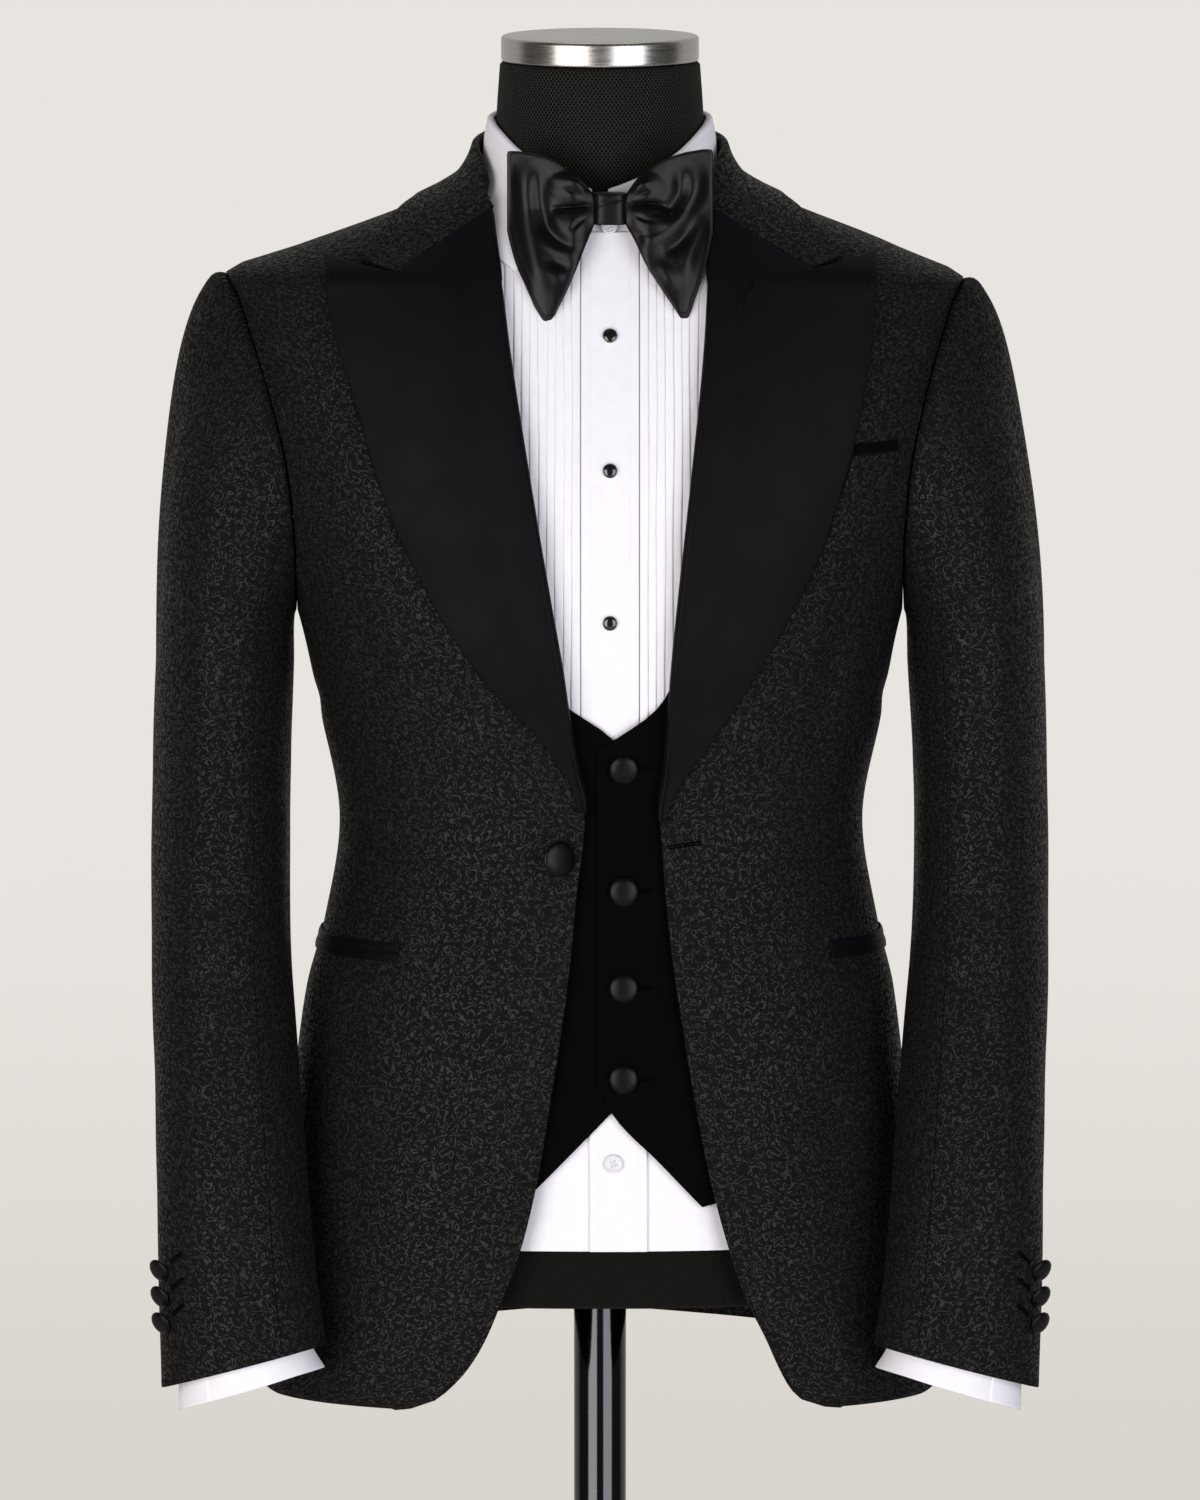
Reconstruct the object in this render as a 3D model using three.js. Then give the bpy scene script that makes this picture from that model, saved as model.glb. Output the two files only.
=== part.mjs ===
// A dinner suit top shown on a limbless dress form: a one-button peak-lapel dinner jacket worn open,
// a four-button waistcoat, a pleated dress shirt and a large butterfly bow tie.
// The form has a fabric-covered torso and neck, a steel neck cap, a round pole and a disc base.
//
// Units are millimetres, +Z up, and the front of the garment faces -Y. +X is the wearer's left.
// The origin is the middle of the base's underside, so the whole piece stands on the plane Z = 0.
//
// How the cloth is made: two smooth torso surfaces, one for the form and one for the outside of the
// jacket, are lofted from a table of sections. Every panel is a patch of one of them, given by its
// outline, and becomes a wall of real thickness between two distances from that surface.

import * as THREE from "three";

// Driving dimensions
const TOTAL_HEIGHT = 1500;
const CLOTH = 2.0; // jacket cloth, canvas included
const LAYER_GAP = 0.4; // clearance between a piece and the one it lies on
const SEAM_SHARE = 0.0022; // half a seam's gap, as a share of the torso's depth
const GARMENT_CENTRE = 6; // the front is dressed 6 mm to the wearer's left of the form's middle

// Colours as sRGB
const COLOURS = {
  brocade: 0x1c1c1b,
  satin: 0x0d0d10,
  waistcoat: 0x0b0b0c,
  shirt: 0xf1f1f5,
  stud: 0x08080a,
  pearl: 0xeeecee,
  jersey: 0x171614,
  steel: 0xb9b5b1,
};

function finish(colour, roughness, metalness = 0) {
  return new THREE.MeshStandardMaterial({ color: colour, roughness, metalness });
}

const MATERIALS = {
  brocade: finish(COLOURS.brocade, 0.75),
  satin: finish(COLOURS.satin, 0.4),
  waistcoat: finish(COLOURS.waistcoat, 0.7),
  shirt: finish(COLOURS.shirt, 0.8),
  stud: finish(COLOURS.stud, 0.15),
  pearl: finish(COLOURS.pearl, 0.3),
  jersey: finish(COLOURS.jersey, 0.85),
  steel: finish(COLOURS.steel, 0.3, 1),
};

// Reading a table: a smooth curve through one column, with no overshoot between its rows
function column(rows, key, name) {
  const sorted = [...rows].sort((a, b) => a[key] - b[key]);
  const x = sorted.map((row) => row[key]);
  const y = sorted.map((row) => row[name]);
  const slope = x.slice(1).map((next, i) => (y[i + 1] - y[i]) / (next - x[i]));
  const tangent = x.map((_, i) => {
    if (i === 0) return slope[0];
    if (i === slope.length) return slope[i - 1];
    const [before, after] = [slope[i - 1], slope[i]];
    if (before * after <= 0) return 0;
    const [w1, w2] = [2 * (x[i + 1] - x[i]) + x[i] - x[i - 1], x[i + 1] - x[i] + 2 * (x[i] - x[i - 1])];
    return (w1 + w2) / (w1 / before + w2 / after);
  });
  return (at) => {
    if (at <= x[0]) return y[0];
    if (at >= x[x.length - 1]) return y[y.length - 1];
    const i = x.findIndex((value) => value > at) - 1;
    const h = x[i + 1] - x[i];
    const t = (at - x[i]) / h;
    const rise = t * t * (3 - 2 * t);
    return (
      y[i] * (1 - rise) +
      y[i + 1] * rise +
      h * (tangent[i] * t * (1 - t) * (1 - t) - tangent[i + 1] * t * t * (1 - t))
    );
  };
}

const mix = (a, b, t) => a + (b - a) * t;
const steps = (count, from = 0, to = 1) =>
  Array.from({ length: count + 1 }, (_, i) => mix(from, to, i / count));
const smooth = (low, high, x) => {
  const t = Math.min(1, Math.max(0, (x - low) / (high - low)));
  return t * t * (3 - 2 * t);
};
const degrees = THREE.MathUtils.degToRad;

// Names the numbers of a table row
const named = (names, rows) =>
  rows.map((row) => Object.fromEntries(names.map((name, i) => [name, row[i]])));

// The armhole, in the side view, is an ellipse between these heights
const ARMHOLE = { low: 1150, high: 1355, share: 0.544 };
const armholeX = column(
  named(["z", "x"], [
    [1150, 184], [1185, 184], [1222, 186.5], [1248, 190],
    [1269, 195], [1297, 203], [1324, 212], [1348, 221.5], [1355, 227],
  ]),
  "z",
  "x",
);

// How far in front of the middle the armhole's edge lies at a height, as a share of the depth there
function armholeShare(hole, z) {
  const s = (2 * z - hole.low - hole.high) / (hole.high - hole.low);
  return Math.abs(s) >= 1 ? 0 : hole.share * Math.sqrt(1 - s * s);
}

// The height of the armhole's lower edge at a share of the depth
function armholeFloor(hole, share) {
  const middle = (hole.low + hole.high) / 2;
  const ratio = Math.min(1, Math.abs(share) / hole.share);
  return middle - ((hole.high - hole.low) / 2) * Math.sqrt(1 - ratio * ratio);
}

// A torso surface. Angle -90 degrees is the front, 0 the wearer's left side and 90 the back.
// Each level is a superellipse: half width, depth to the front, depth to the back, and its power.
function torso(rows, armhole) {
  const table = named(["z", "width", "front", "back", "power"], rows);
  const [width, front, back, power] = ["width", "front", "back", "power"].map((name) =>
    column(table, "z", name),
  );
  const signedPower = (value, exponent) => Math.sign(value) * Math.abs(value) ** exponent;
  const surface = { power };

  // In the armhole's heights the width follows from where its edge has to lie
  surface.width = (z) => {
    const share = armhole ? armholeShare(armhole, z) : 0;
    if (share === 0) return width(z);
    const p = power(z);
    return armhole.x(z) / (1 - share ** p) ** (1 / p);
  };
  surface.depth = (z, angle) => (Math.sin(angle) < 0 ? front(z) : back(z));
  surface.point = (angle, z) => {
    const exponent = 2 / power(z);
    return new THREE.Vector3(
      surface.width(z) * signedPower(Math.cos(angle), exponent),
      surface.depth(z, angle) * signedPower(Math.sin(angle), exponent),
      z,
    );
  };
  surface.normal = (angle, z) => {
    const [turn, rise] = [0.01, 1.5];
    const around = surface.point(angle + turn, z).sub(surface.point(angle - turn, z));
    const up = surface.point(angle, z + rise).sub(surface.point(angle, z - rise));
    return around.cross(up).normalize();
  };
  surface.at = (angle, z, out = 0) =>
    surface.point(angle, z).addScaledVector(surface.normal(angle, z), out);

  // The angle, on the front, of a point at x, and the angle of a share of the depth
  surface.angleOfX = (x, z) => {
    const ratio = Math.min(1, Math.abs(x) / surface.width(z));
    return -Math.acos(Math.sign(x) * ratio ** (surface.power(z) / 2));
  };
  surface.angleOfShare = (share, z) =>
    Math.sign(share) * Math.asin(Math.abs(share) ** (surface.power(z) / 2));
  return surface;
}

// The outside of the jacket, and above 1407 the line on which its collar stands
const jacket = torso(
  [
    [1446, 73, 66, 80, 2.0], [1430, 75.5, 67, 81, 2.0], [1415, 83, 69, 83, 2.0],
    [1407, 94, 71, 84, 2.05], [1399, 111, 73, 86, 2.1], [1385, 147, 77, 90, 2.2],
    [1370, 188, 83, 95, 2.25], [1355, 227, 90, 99, 2.3], [1330, 226, 100, 105, 2.3],
    [1300, 226, 110, 111, 2.3], [1250, 219, 122, 117, 2.3], [1200, 206, 128, 118, 2.3],
    [1150, 184, 128, 115, 2.3], [1090, 171, 121, 106, 2.3], [1022, 158.6, 114, 97, 2.3],
    [960, 168, 116, 101, 2.3], [918, 179, 118, 107, 2.3], [860, 187, 120, 114, 2.3],
    [800, 194, 122, 119, 2.35], [730, 202, 124, 122, 2.4], [660, 209, 126, 124, 2.4],
  ],
  { ...ARMHOLE, x: armholeX },
);

// The dress form under it
const form = torso([
  [1486, 60.5, 60.5, 60.5, 2.0], [1452, 62.8, 62.8, 62.8, 2.0], [1420, 64, 64, 65, 2.0],
  [1405, 72, 64.5, 68, 2.0], [1394, 92, 67, 72, 2.05], [1380, 125, 71.5, 78, 2.1],
  [1362, 165, 78, 86, 2.2], [1345, 186, 84, 91, 2.25], [1320, 192, 92, 97, 2.3],
  [1280, 188, 103, 102, 2.3], [1230, 176, 112, 106, 2.3], [1150, 171, 115, 103, 2.3],
  [1090, 159, 109, 95, 2.3], [1022, 146.5, 102, 86, 2.3], [960, 155, 103, 90, 2.3],
  [918, 165, 105, 95, 2.3], [860, 173, 107, 101, 2.3], [800, 178, 109, 105, 2.35],
  [734, 181, 110, 107, 2.4],
]);

// The heights at which every layer on the torso has its rows, so that the layers keep their distance
const LEVELS = [910, 965, 1022, 1080, 1150, 1220, 1285, 1325, 1347, 1362, 1376, 1388];
const levels = (from, to) => LEVELS.filter((z) => z > from && z < to);

// A closed wall between two grids of points. corner(s, t) gives { outer, inner } for each column s
// and row t. A ring joins its last column to its first.
function wall({ across, along, corner, ring = false }) {
  const columns = across.length;
  const rows = along.length;
  const points = [];
  for (const t of along) {
    for (const s of across) {
      const { outer, inner } = corner(s, t);
      points.push(outer, inner);
    }
  }
  const index = (i, j, side) => 2 * (j * columns + (i % columns)) + side;
  const triangles = [];
  const quad = (a, b, c, d) => triangles.push([a, b, c], [a, c, d]);
  const spans = ring ? columns : columns - 1;
  for (let j = 0; j < rows - 1; j++) {
    for (let i = 0; i < spans; i++) {
      quad(index(i, j, 0), index(i + 1, j, 0), index(i + 1, j + 1, 0), index(i, j + 1, 0));
      quad(index(i, j, 1), index(i, j + 1, 1), index(i + 1, j + 1, 1), index(i + 1, j, 1));
    }
    if (!ring) {
      const last = columns - 1;
      quad(index(0, j, 0), index(0, j + 1, 0), index(0, j + 1, 1), index(0, j, 1));
      quad(index(last, j, 0), index(last, j, 1), index(last, j + 1, 1), index(last, j + 1, 0));
    }
  }
  for (let i = 0; i < spans; i++) {
    const top = rows - 1;
    quad(index(i, 0, 0), index(i, 0, 1), index(i + 1, 0, 1), index(i + 1, 0, 0));
    quad(index(i, top, 0), index(i + 1, top, 0), index(i + 1, top, 1), index(i, top, 1));
  }
  return closed(points, triangles);
}

// A BufferGeometry from points and triangles, turned so that its faces point out
function closed(points, triangles) {
  const volume = triangles.reduce(
    (sum, [a, b, c]) => sum + points[a].dot(points[b].clone().cross(points[c])),
    0,
  );
  const facing = volume > 0 ? triangles : triangles.map(([a, b, c]) => [a, c, b]);
  return new THREE.BufferGeometry()
    .setAttribute("position", new THREE.Float32BufferAttribute(points.flatMap((p) => p.toArray()), 3))
    .setIndex(facing.flat());
}

// The same wall on the wearer's other side
const mirrorX = (corner, side) => (s, t) => {
  const pair = corner(s, t);
  pair.outer.x *= side;
  pair.inner.x *= side;
  return pair;
};

// A patch of a torso surface, from "low" to "high" outside it. place(s, t) gives its angle and height.
function patch({ surface, side = 1, across, along, place, low, high, ring }) {
  const value = (distance, s, t) => (typeof distance === "function" ? distance(s, t) : distance);
  const corner = (s, t) => {
    const [angle, z] = place(s, t);
    return {
      outer: surface.at(angle, z, value(high, s, t)),
      inner: surface.at(angle, z, value(low, s, t)),
    };
  };
  return wall({ across, along, ring, corner: mirrorX(corner, side) });
}

// Where a small piece sits on a panel of the form that has these rows: a point out from the middle of
// the panel's own flat faces there, and the direction that it faces
function seat(rows, x, z, out) {
  const above = rows.findIndex((row) => row > z);
  const [low, high] = [rows[above - 1], rows[above]];
  const [bottom, top] = [low, high].map((row) => form.at(form.angleOfX(x, row), row, out));
  const position = bottom.clone().lerp(top, (z - low) / (high - low));
  const across = form.at(form.angleOfX(x + 5, z), z).sub(form.at(form.angleOfX(x - 5, z), z));
  return [position, across.cross(top.sub(bottom)).normalize()];
}

const suit = new THREE.Group();
function add(name, geometry, material) {
  geometry.computeVertexNormals();
  const mesh = new THREE.Mesh(geometry, MATERIALS[material]);
  mesh.name = name;
  suit.add(mesh);
  return mesh;
}

// A round piece whose profile is turned about its own axis, set on a point and facing a direction
function turned(name, profile, segments, material, position, facing) {
  const points = profile.map(([radius, height]) => new THREE.Vector2(radius, height));
  const mesh = add(name, new THREE.LatheGeometry(points, segments), material);
  mesh.position.copy(position);
  mesh.quaternion.setFromUnitVectors(new THREE.Vector3(0, 1, 0), facing.clone().normalize());
  return mesh;
}

// The two sides of the body: 1 is the wearer's left, -1 the right
const SIDES = [
  { name: "left", side: 1 },
  { name: "right", side: -1 },
];

// Dress form: torso and neck, cap, pole and base
const FORM_BOTTOM = 734;
const NECK_TOP = 1484;
const CAP = { radius: 60, bottom: 1484.4, edge: 2.5 };
const POLE = { radius: 16, foot: 10.4 };
const BASE = { radius: 185, thickness: 10, socket: 25, socketHeight: 46 };

function buildForm() {
  const columns = 24;
  const heights = [FORM_BOTTOM, 850, ...LEVELS, 1399, 1406, 1413, 1422, NECK_TOP];
  // Under the clothes the form is set in a little, so that the cloth lies clear of it
  const points = heights.flatMap((z) =>
    steps(columns - 1, 0, 2 * Math.PI * (1 - 1 / columns)).map((angle) =>
      form.at(angle, z, -3.4 * (1 - smooth(1405, 1430, z))),
    ),
  );
  const [foot, crown] = [points.length, points.length + 1];
  points.push(new THREE.Vector3(0, 0, FORM_BOTTOM), new THREE.Vector3(0, 0, NECK_TOP));
  const triangles = [];
  const top = (heights.length - 1) * columns;
  for (let i = 0; i < columns; i++) {
    const next = (i + 1) % columns;
    triangles.push([foot, next, i], [crown, top + i, top + next]);
    for (let row = 0; row < top; row += columns) {
      const [a, b, c, d] = [row + i, row + next, row + columns + next, row + columns + i];
      triangles.push([a, b, c], [a, c, d]);
    }
  }
  add("form_torso", closed(points, triangles), "jersey");

  const up = new THREE.Vector3(0, 0, 1);
  const at = (z) => new THREE.Vector3(0, 0, z);
  const capHeight = TOTAL_HEIGHT - CAP.bottom;
  turned(
    "neck_cap",
    [[0, 0], [CAP.radius, 0], [CAP.radius, capHeight - CAP.edge], [CAP.radius - CAP.edge, capHeight], [0, capHeight]],
    36,
    "steel",
    at(CAP.bottom),
    up,
  );
  const poleLength = FORM_BOTTOM - 0.3 - POLE.foot;
  turned("pole", [[0, 0], [POLE.radius, 0], [POLE.radius, poleLength], [0, poleLength]], 24, "steel", at(POLE.foot), up);
  turned(
    "base",
    [
      [0, 0], [BASE.radius, 0], [BASE.radius, BASE.thickness - 3], [BASE.radius - 3, BASE.thickness],
      [BASE.socket, BASE.thickness], [BASE.socket, BASE.socketHeight], [POLE.radius + 0.3, BASE.socketHeight],
      [POLE.radius + 0.3, BASE.thickness], [0, BASE.thickness],
    ],
    30,
    "steel",
    at(0),
    up,
  );
}

// Jacket body
const HEM = { front: 674, seam: 682, back: 700 };
const SIDE_SEAM = 0.42; // share of the depth at which the side panel meets the front and the back
const LOWER_ROWS = [674, 678, 688, 716, 765, 825, 890, 960, 1022, 1120];
const ARM_ROWS = [1153.5, 1187];
const UPPER_ROWS = [1225, 1270, 1310, 1336, 1349, 1357, 1364, 1372, 1384, 1396, 1407];
const ARMPIT_ROW = 1120;
const NECK_ROW = 1372; // above this height the rows close up to the neckline
const NECK_SIDE = 1407;
const NECK_FRONT = 1390;

// Distance of each front's edge from the middle: the cutaway, the button, then the lapel's roll line
const FRONT_EDGE = named(["z", "right", "left"], [
  [674, 124, 146], [676.5, 108, 130], [682, 98, 120], [688, 91, 115], [699, 81, 109], [717, 70, 101], [746, 58, 87],
  [770, 49, 79], [815, 38, 67], [860, 30.5, 58], [908, 23, 50], [956, 17, 43], [996, 13.4, 39],
  [1017, 10.4, 37.5], [1038, 9, 36], [1066, 12, 37.5], [1108, 19.5, 41], [1168, 30.5, 47.5],
  [1240, 42.7, 55.5], [1318, 55, 63], [1384, 62.8, 66], [1400, 66, 69], [1407, 72, 76],
]);

// A row height moved so that the rows start at this hem
const fromHem = (row, hem) =>
  row > ARMPIT_ROW ? row : ARMPIT_ROW - ((ARMPIT_ROW - row) * (ARMPIT_ROW - hem)) / (ARMPIT_ROW - HEM.front);

// The outer edge of a front or back: side seam, armhole, then shoulder seam, as a share of the depth
const outerShare = (z) => Math.max(z > ARMHOLE.high ? 0.003 : 0, z < ARM_ROWS[1] + 1 ? SIDE_SEAM : 0, armholeShare(ARMHOLE, z));

function buildJacketBody() {
  const rows = [...LOWER_ROWS, ...ARM_ROWS, ...UPPER_ROWS];
  for (const { name, side } of SIDES) {
    const edge = column(FRONT_EDGE, "z", name);
    // Under the lapel the front stops just behind the roll line
    const cut = (z) => edge(z) + 2 * smooth(1035, 1050, z);
    add(
      `jacket_front_${name}`,
      patch({
        surface: jacket,
        side,
        across: steps(8),
        along: rows,
        place: (s, row) => {
          const neck = mix(NECK_FRONT, NECK_SIDE, s);
          const z = row > NECK_ROW ? mix(NECK_ROW, neck, (row - NECK_ROW) / (NECK_SIDE - NECK_ROW)) : row;
          const outer = jacket.angleOfShare(-outerShare(z) - SEAM_SHARE, z);
          return [mix(jacket.angleOfX(cut(z), z), outer, s), z];
        },
        low: -CLOTH,
        high: 0,
      }),
      "brocade",
    );
    add(
      `jacket_side_${name}`,
      patch({
        surface: jacket,
        side,
        across: steps(4, -SIDE_SEAM + SEAM_SHARE, SIDE_SEAM - SEAM_SHARE),
        along: [...LOWER_ROWS, ...ARM_ROWS],
        place: (share, row) => {
          const hem = mix(HEM.front, HEM.seam, (share + SIDE_SEAM) / (2 * SIDE_SEAM));
          const rise = (row - ARMPIT_ROW) / (ARM_ROWS[1] - ARMPIT_ROW);
          const floor = armholeFloor(ARMHOLE, share);
          const z = rise > 0 ? mix(ARMPIT_ROW, floor, rise) : fromHem(row, hem);
          return [jacket.angleOfShare(share, z), z];
        },
        low: -CLOTH,
        high: 0,
      }),
      "brocade",
    );
    add(
      `jacket_back_${name}`,
      patch({
        surface: jacket,
        side,
        across: steps(6),
        along: rows,
        place: (s, row) => {
          const z = fromHem(row, mix(HEM.seam, HEM.back, s));
          const outer = jacket.angleOfShare(outerShare(z) + SEAM_SHARE, z);
          return [mix(outer, Math.PI / 2 - 0.002, s), z];
        },
        low: -CLOTH,
        high: 0,
      }),
      "brocade",
    );
  }
}

// Lapels and collar. Points are [distance from the middle, height] on the front.
const LAPEL = { low: 1.45, thickness: 1.8 };
const LAPELS = {
  right: {
    gorge: [67, 1398.5],
    notch: [122.6, 1361.5],
    corner: [146.6, 1369],
    peak: [166.5, 1369.5],
    edge: [
      [13, 1040], [16, 1053], [33.6, 1080.6], [67, 1117], [94.6, 1156], [113.5, 1192], [123, 1212],
      [136.4, 1249], [146.6, 1284], [155.2, 1312], [162, 1337.5], [166.5, 1369.5],
    ],
  },
  left: {
    gorge: [70, 1398.5],
    notch: [126.6, 1363],
    corner: [148, 1370.5],
    peak: [167, 1372],
    edge: [
      [40, 1034], [43, 1047], [54.9, 1065.5], [76.3, 1096], [97.6, 1129], [116, 1162], [131, 1192.5],
      [142, 1224], [151.5, 1257.5], [157.6, 1287.5], [164.3, 1328], [167, 1372],
    ],
  },
};
const GORGE_GAP = 0.9;
const onFront = ([x, z]) => [jacket.angleOfX(x, z), z];
const mixPair = (a, b, t) => [mix(a[0], b[0], t), mix(a[1], b[1], t)];

function buildLapel(name, side) {
  const shape = LAPELS[name];
  const rollX = column(FRONT_EDGE, "z", name);
  const start = shape.edge[0][1];
  const gorge = onFront([shape.gorge[0], shape.gorge[1] - GORGE_GAP]);
  const notch = onFront([shape.notch[0], shape.notch[1] - GORGE_GAP]);
  const peak = onFront(shape.peak);
  const roll = (t) => {
    const z = mix(start, gorge[1], t);
    return t === 1 ? gorge : [jacket.angleOfX(rollX(z), z), z];
  };
  const last = shape.edge.length - 1;
  const edgeRows = shape.edge.map(([x, z], i) => ({ i, x, z }));
  const [edgeX, edgeZ] = ["x", "z"].map((key) => column(edgeRows, "i", key));
  const outer = (t) => onFront([edgeX(t * last), edgeZ(t * last)]);
  const notchAt = 0.56;
  const top = (s) =>
    s < notchAt ? mixPair(gorge, notch, s / notchAt) : mixPair(notch, peak, (s - notchAt) / (1 - notchAt));
  // The patch between the roll line and the outer edge, its top drawn down to the gorge line
  const place = (s, t) => {
    const [angle, z] = mixPair(roll(t), outer(t), s);
    const [topAngle, topZ] = top(s);
    const [flatAngle, flatZ] = mixPair(gorge, peak, s);
    const pull = t ** 4;
    return [angle + pull * (topAngle - flatAngle), z + pull * (topZ - flatZ)];
  };
  // The cloth stands off along the roll line, and where the peak lies over the shoulder's curve
  const lift = (s, t) => 1.6 * (1 - smooth(0, 0.22, s)) + 3.4 * smooth(0.7, 1, t) * smooth(0.2, 0.5, s);
  add(
    `lapel_${name}`,
    patch({
      surface: jacket,
      side,
      across: [0, 0.08, 0.24, 0.4, notchAt, 0.7, 0.85, 1],
      along: [0, 0.12, 0.25, 0.37, 0.49, 0.6, 0.7, 0.78, 0.85, 0.9, 0.94, 0.97, 1],
      place,
      low: (s, t) => LAPEL.low + lift(s, t) * 0.7,
      high: (s, t) => LAPEL.low + LAPEL.thickness + lift(s, t),
    }),
    "satin",
  );
}

// The collar's fall edge and fold, from the front end of each side to the middle of the back.
// Angles are in degrees.
const COLLAR_STATIONS = named(["edgeAngle", "edgeZ", "foldAngle", "foldZ"], [
  [-31, 1384, -38, 1414], [-14, 1394, -18, 1427], [0, 1399, 0, 1433], [18, 1400, 18, 1436],
  [36, 1399, 36, 1438], [54, 1398, 54, 1440], [72, 1396, 72, 1440], [90, 1395, 90, 1440],
]);
const STAND_FOOT = 1410;

function buildJacketCollar() {
  const stations = SIDES.flatMap(({ name, side }) => {
    const { gorge, notch, corner } = LAPELS[name];
    const front = [
      { edge: onFront(notch), fold: onFront(gorge) },
      { edge: onFront(corner), fold: [degrees(-49), 1406.5] },
    ];
    const around = COLLAR_STATIONS.map((row) => ({
      edge: [degrees(row.edgeAngle), row.edgeZ],
      fold: [degrees(row.foldAngle), row.foldZ],
    }));
    const half = [...front, ...around].map((station) => ({ ...station, side }));
    return side > 0 ? half : half.slice(0, -1).reverse();
  });
  // The section from the foot of the stand, over the fold, to the edge of the fall: a share of the
  // way down each leg, and the distance from the jacket's surface on the two faces of the cloth
  const section = named(["leg", "down", "out", "in"], [
    [-1, 1, -1.9, -0.6], [-1, 0.1, -1.7, -0.4], [0, 0, 0.3, 0.3],
    [1, 0.08, 2.7, 1.2], [1, 0.3, 3.1, 1.3], [1, 0.65, 3.1, 1.3], [1, 1, 2.9, 1.2],
  ]);
  const corner = (k, j) => {
    const { edge, fold, side } = stations[k];
    const { leg, down, out, in: inside } = section[j];
    const foot = Math.max(STAND_FOOT, fold[1] - 4);
    const standFoot = fold[1] > STAND_FOOT + 4 ? foot : fold[1] - 3;
    let place = fold;
    if (leg > 0) place = mixPair(fold, edge, down);
    if (leg < 0) place = [fold[0], mix(fold[1], standFoot, down)];
    const pair = {
      outer: jacket.at(place[0], place[1] + (leg === 0 ? 1.3 : 0), out),
      inner: jacket.at(place[0], place[1] - (leg === 0 ? 0.7 : 0), inside),
    };
    pair.outer.x *= side;
    pair.inner.x *= side;
    return pair;
  };
  const indices = (list) => list.map((_, i) => i);
  add("jacket_collar", wall({ across: indices(stations), along: indices(section), corner }), "brocade");
}

// Sleeves. Angle 0 is the outer side, 90 the front, 180 the side facing the body.
const BICEPS = 1120;
const CUFF_PLANE = { middle: 700, outerDrop: 13, backDrop: 5 };
const SLEEVE = named(["z", "outer", "inner", "middleY", "depth"], [
  [1120, 270.5, 186.5, 0, 76], [1060, 272.5, 188.5, -8, 73], [1000, 273.3, 188.5, -20, 68],
  [940, 273, 187, -38, 62], [885, 271.5, 183, -58, 57], [840, 270, 179.5, -74, 52],
  [800, 268.7, 176, -86, 48], [750, 267.5, 171.5, -97, 43], [715, 266.7, 168, -103, 40],
  [680, 266, 165.5, -106, 38],
]);
const sleeveColumn = Object.fromEntries(
  ["outer", "inner", "middleY", "depth"].map((name) => [name, column(SLEEVE, "z", name)]),
);

// A horizontal section of the lower sleeve
function sleeveSection(angle, z) {
  const [outer, inner] = [sleeveColumn.outer(z), sleeveColumn.inner(z)];
  return new THREE.Vector3(
    (outer + inner) / 2 + ((outer - inner) / 2) * Math.cos(angle),
    sleeveColumn.middleY(z) - sleeveColumn.depth(z) * Math.sin(angle),
    z,
  );
}

// The sleeve's surface: t from 0 to 1 is the head, from the armhole to the biceps, and from 1 to 2
// the arm, down to the hem
function sleevePoint(angle, t) {
  const base = sleeveSection(angle, BICEPS);
  if (t <= 1) {
    const z = mix(ARMHOLE.low, ARMHOLE.high, (1 + Math.cos(angle)) / 2);
    const share = ARMHOLE.share * Math.sin(angle);
    const start = jacket.point(jacket.angleOfShare(-share, z), z);
    start.x += 0.7;
    const crown = (1 + Math.cos(angle)) / 2;
    const out = new THREE.Vector3(
      mix(2, 25, crown),
      -14 * Math.sin(angle) * (1 - 0.4 * crown),
      2 * crown - 4 * (1 - crown),
    );
    const rise = (start.z - base.z) * 0.64;
    const path = new THREE.CubicBezierCurve3(
      start,
      start.clone().add(out),
      base.clone().add(new THREE.Vector3(0, 0, rise)),
      base,
    );
    return path.getPoint(Math.max(0, t));
  }
  const hem = CUFF_PLANE.middle - CUFF_PLANE.outerDrop * Math.cos(angle) + CUFF_PLANE.backDrop * Math.sin(angle);
  return sleeveSection(angle, mix(BICEPS, hem, t - 1));
}

function sleeveNormal(angle, t) {
  const [turn, slide] = [0.04, 0.012];
  const around = sleevePoint(angle + turn, t).sub(sleevePoint(angle - turn, t));
  const down = sleevePoint(angle, t + slide).sub(sleevePoint(angle, Math.max(0, t - slide)));
  return around.cross(down).normalize();
}

const sleeveAt = (angle, t, out) => sleevePoint(angle, t).addScaledVector(sleeveNormal(angle, t), out);

const SLEEVE_SEAM = 120; // degrees from the outer side to the front seam and to the back seam
const HEAD_ROWS = [0, 0.13, 0.3, 0.5, 0.75, 1];
const ARM_ROWS_DOWN = [1.14, 1.28, 1.42, 1.55, 1.7, 1.85, 2];

function buildSleeves() {
  const seamGap = 0.35;
  for (const { name, side } of SIDES) {
    const cloth = (angles, along, low, high) =>
      wall({
        across: angles.map(degrees),
        along,
        corner: mirrorX((angle, t) => ({ outer: sleeveAt(angle, t, high), inner: sleeveAt(angle, t, low) }), side),
      });
    const rows = [...HEAD_ROWS, ...ARM_ROWS_DOWN];
    const top = steps(10, -SLEEVE_SEAM + seamGap, SLEEVE_SEAM - seamGap);
    const under = steps(5, SLEEVE_SEAM + seamGap, 360 - SLEEVE_SEAM - seamGap);
    add(`top_sleeve_${name}`, cloth(top, rows, -CLOTH, 0), "brocade");
    add(`under_sleeve_${name}`, cloth(under, rows, -CLOTH, 0), "brocade");
  }
}

// Pockets: a breast welt with its satin mouth, and two-jet hip pockets that run round to the side
const JET = { height: 5.6, gap: 0.5, low: 1.1, thickness: 1.2, length: 150 };
const HIP_POCKETS = { right: { x: 121.5, z: 951 }, left: { x: 139, z: 951 } };

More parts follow.
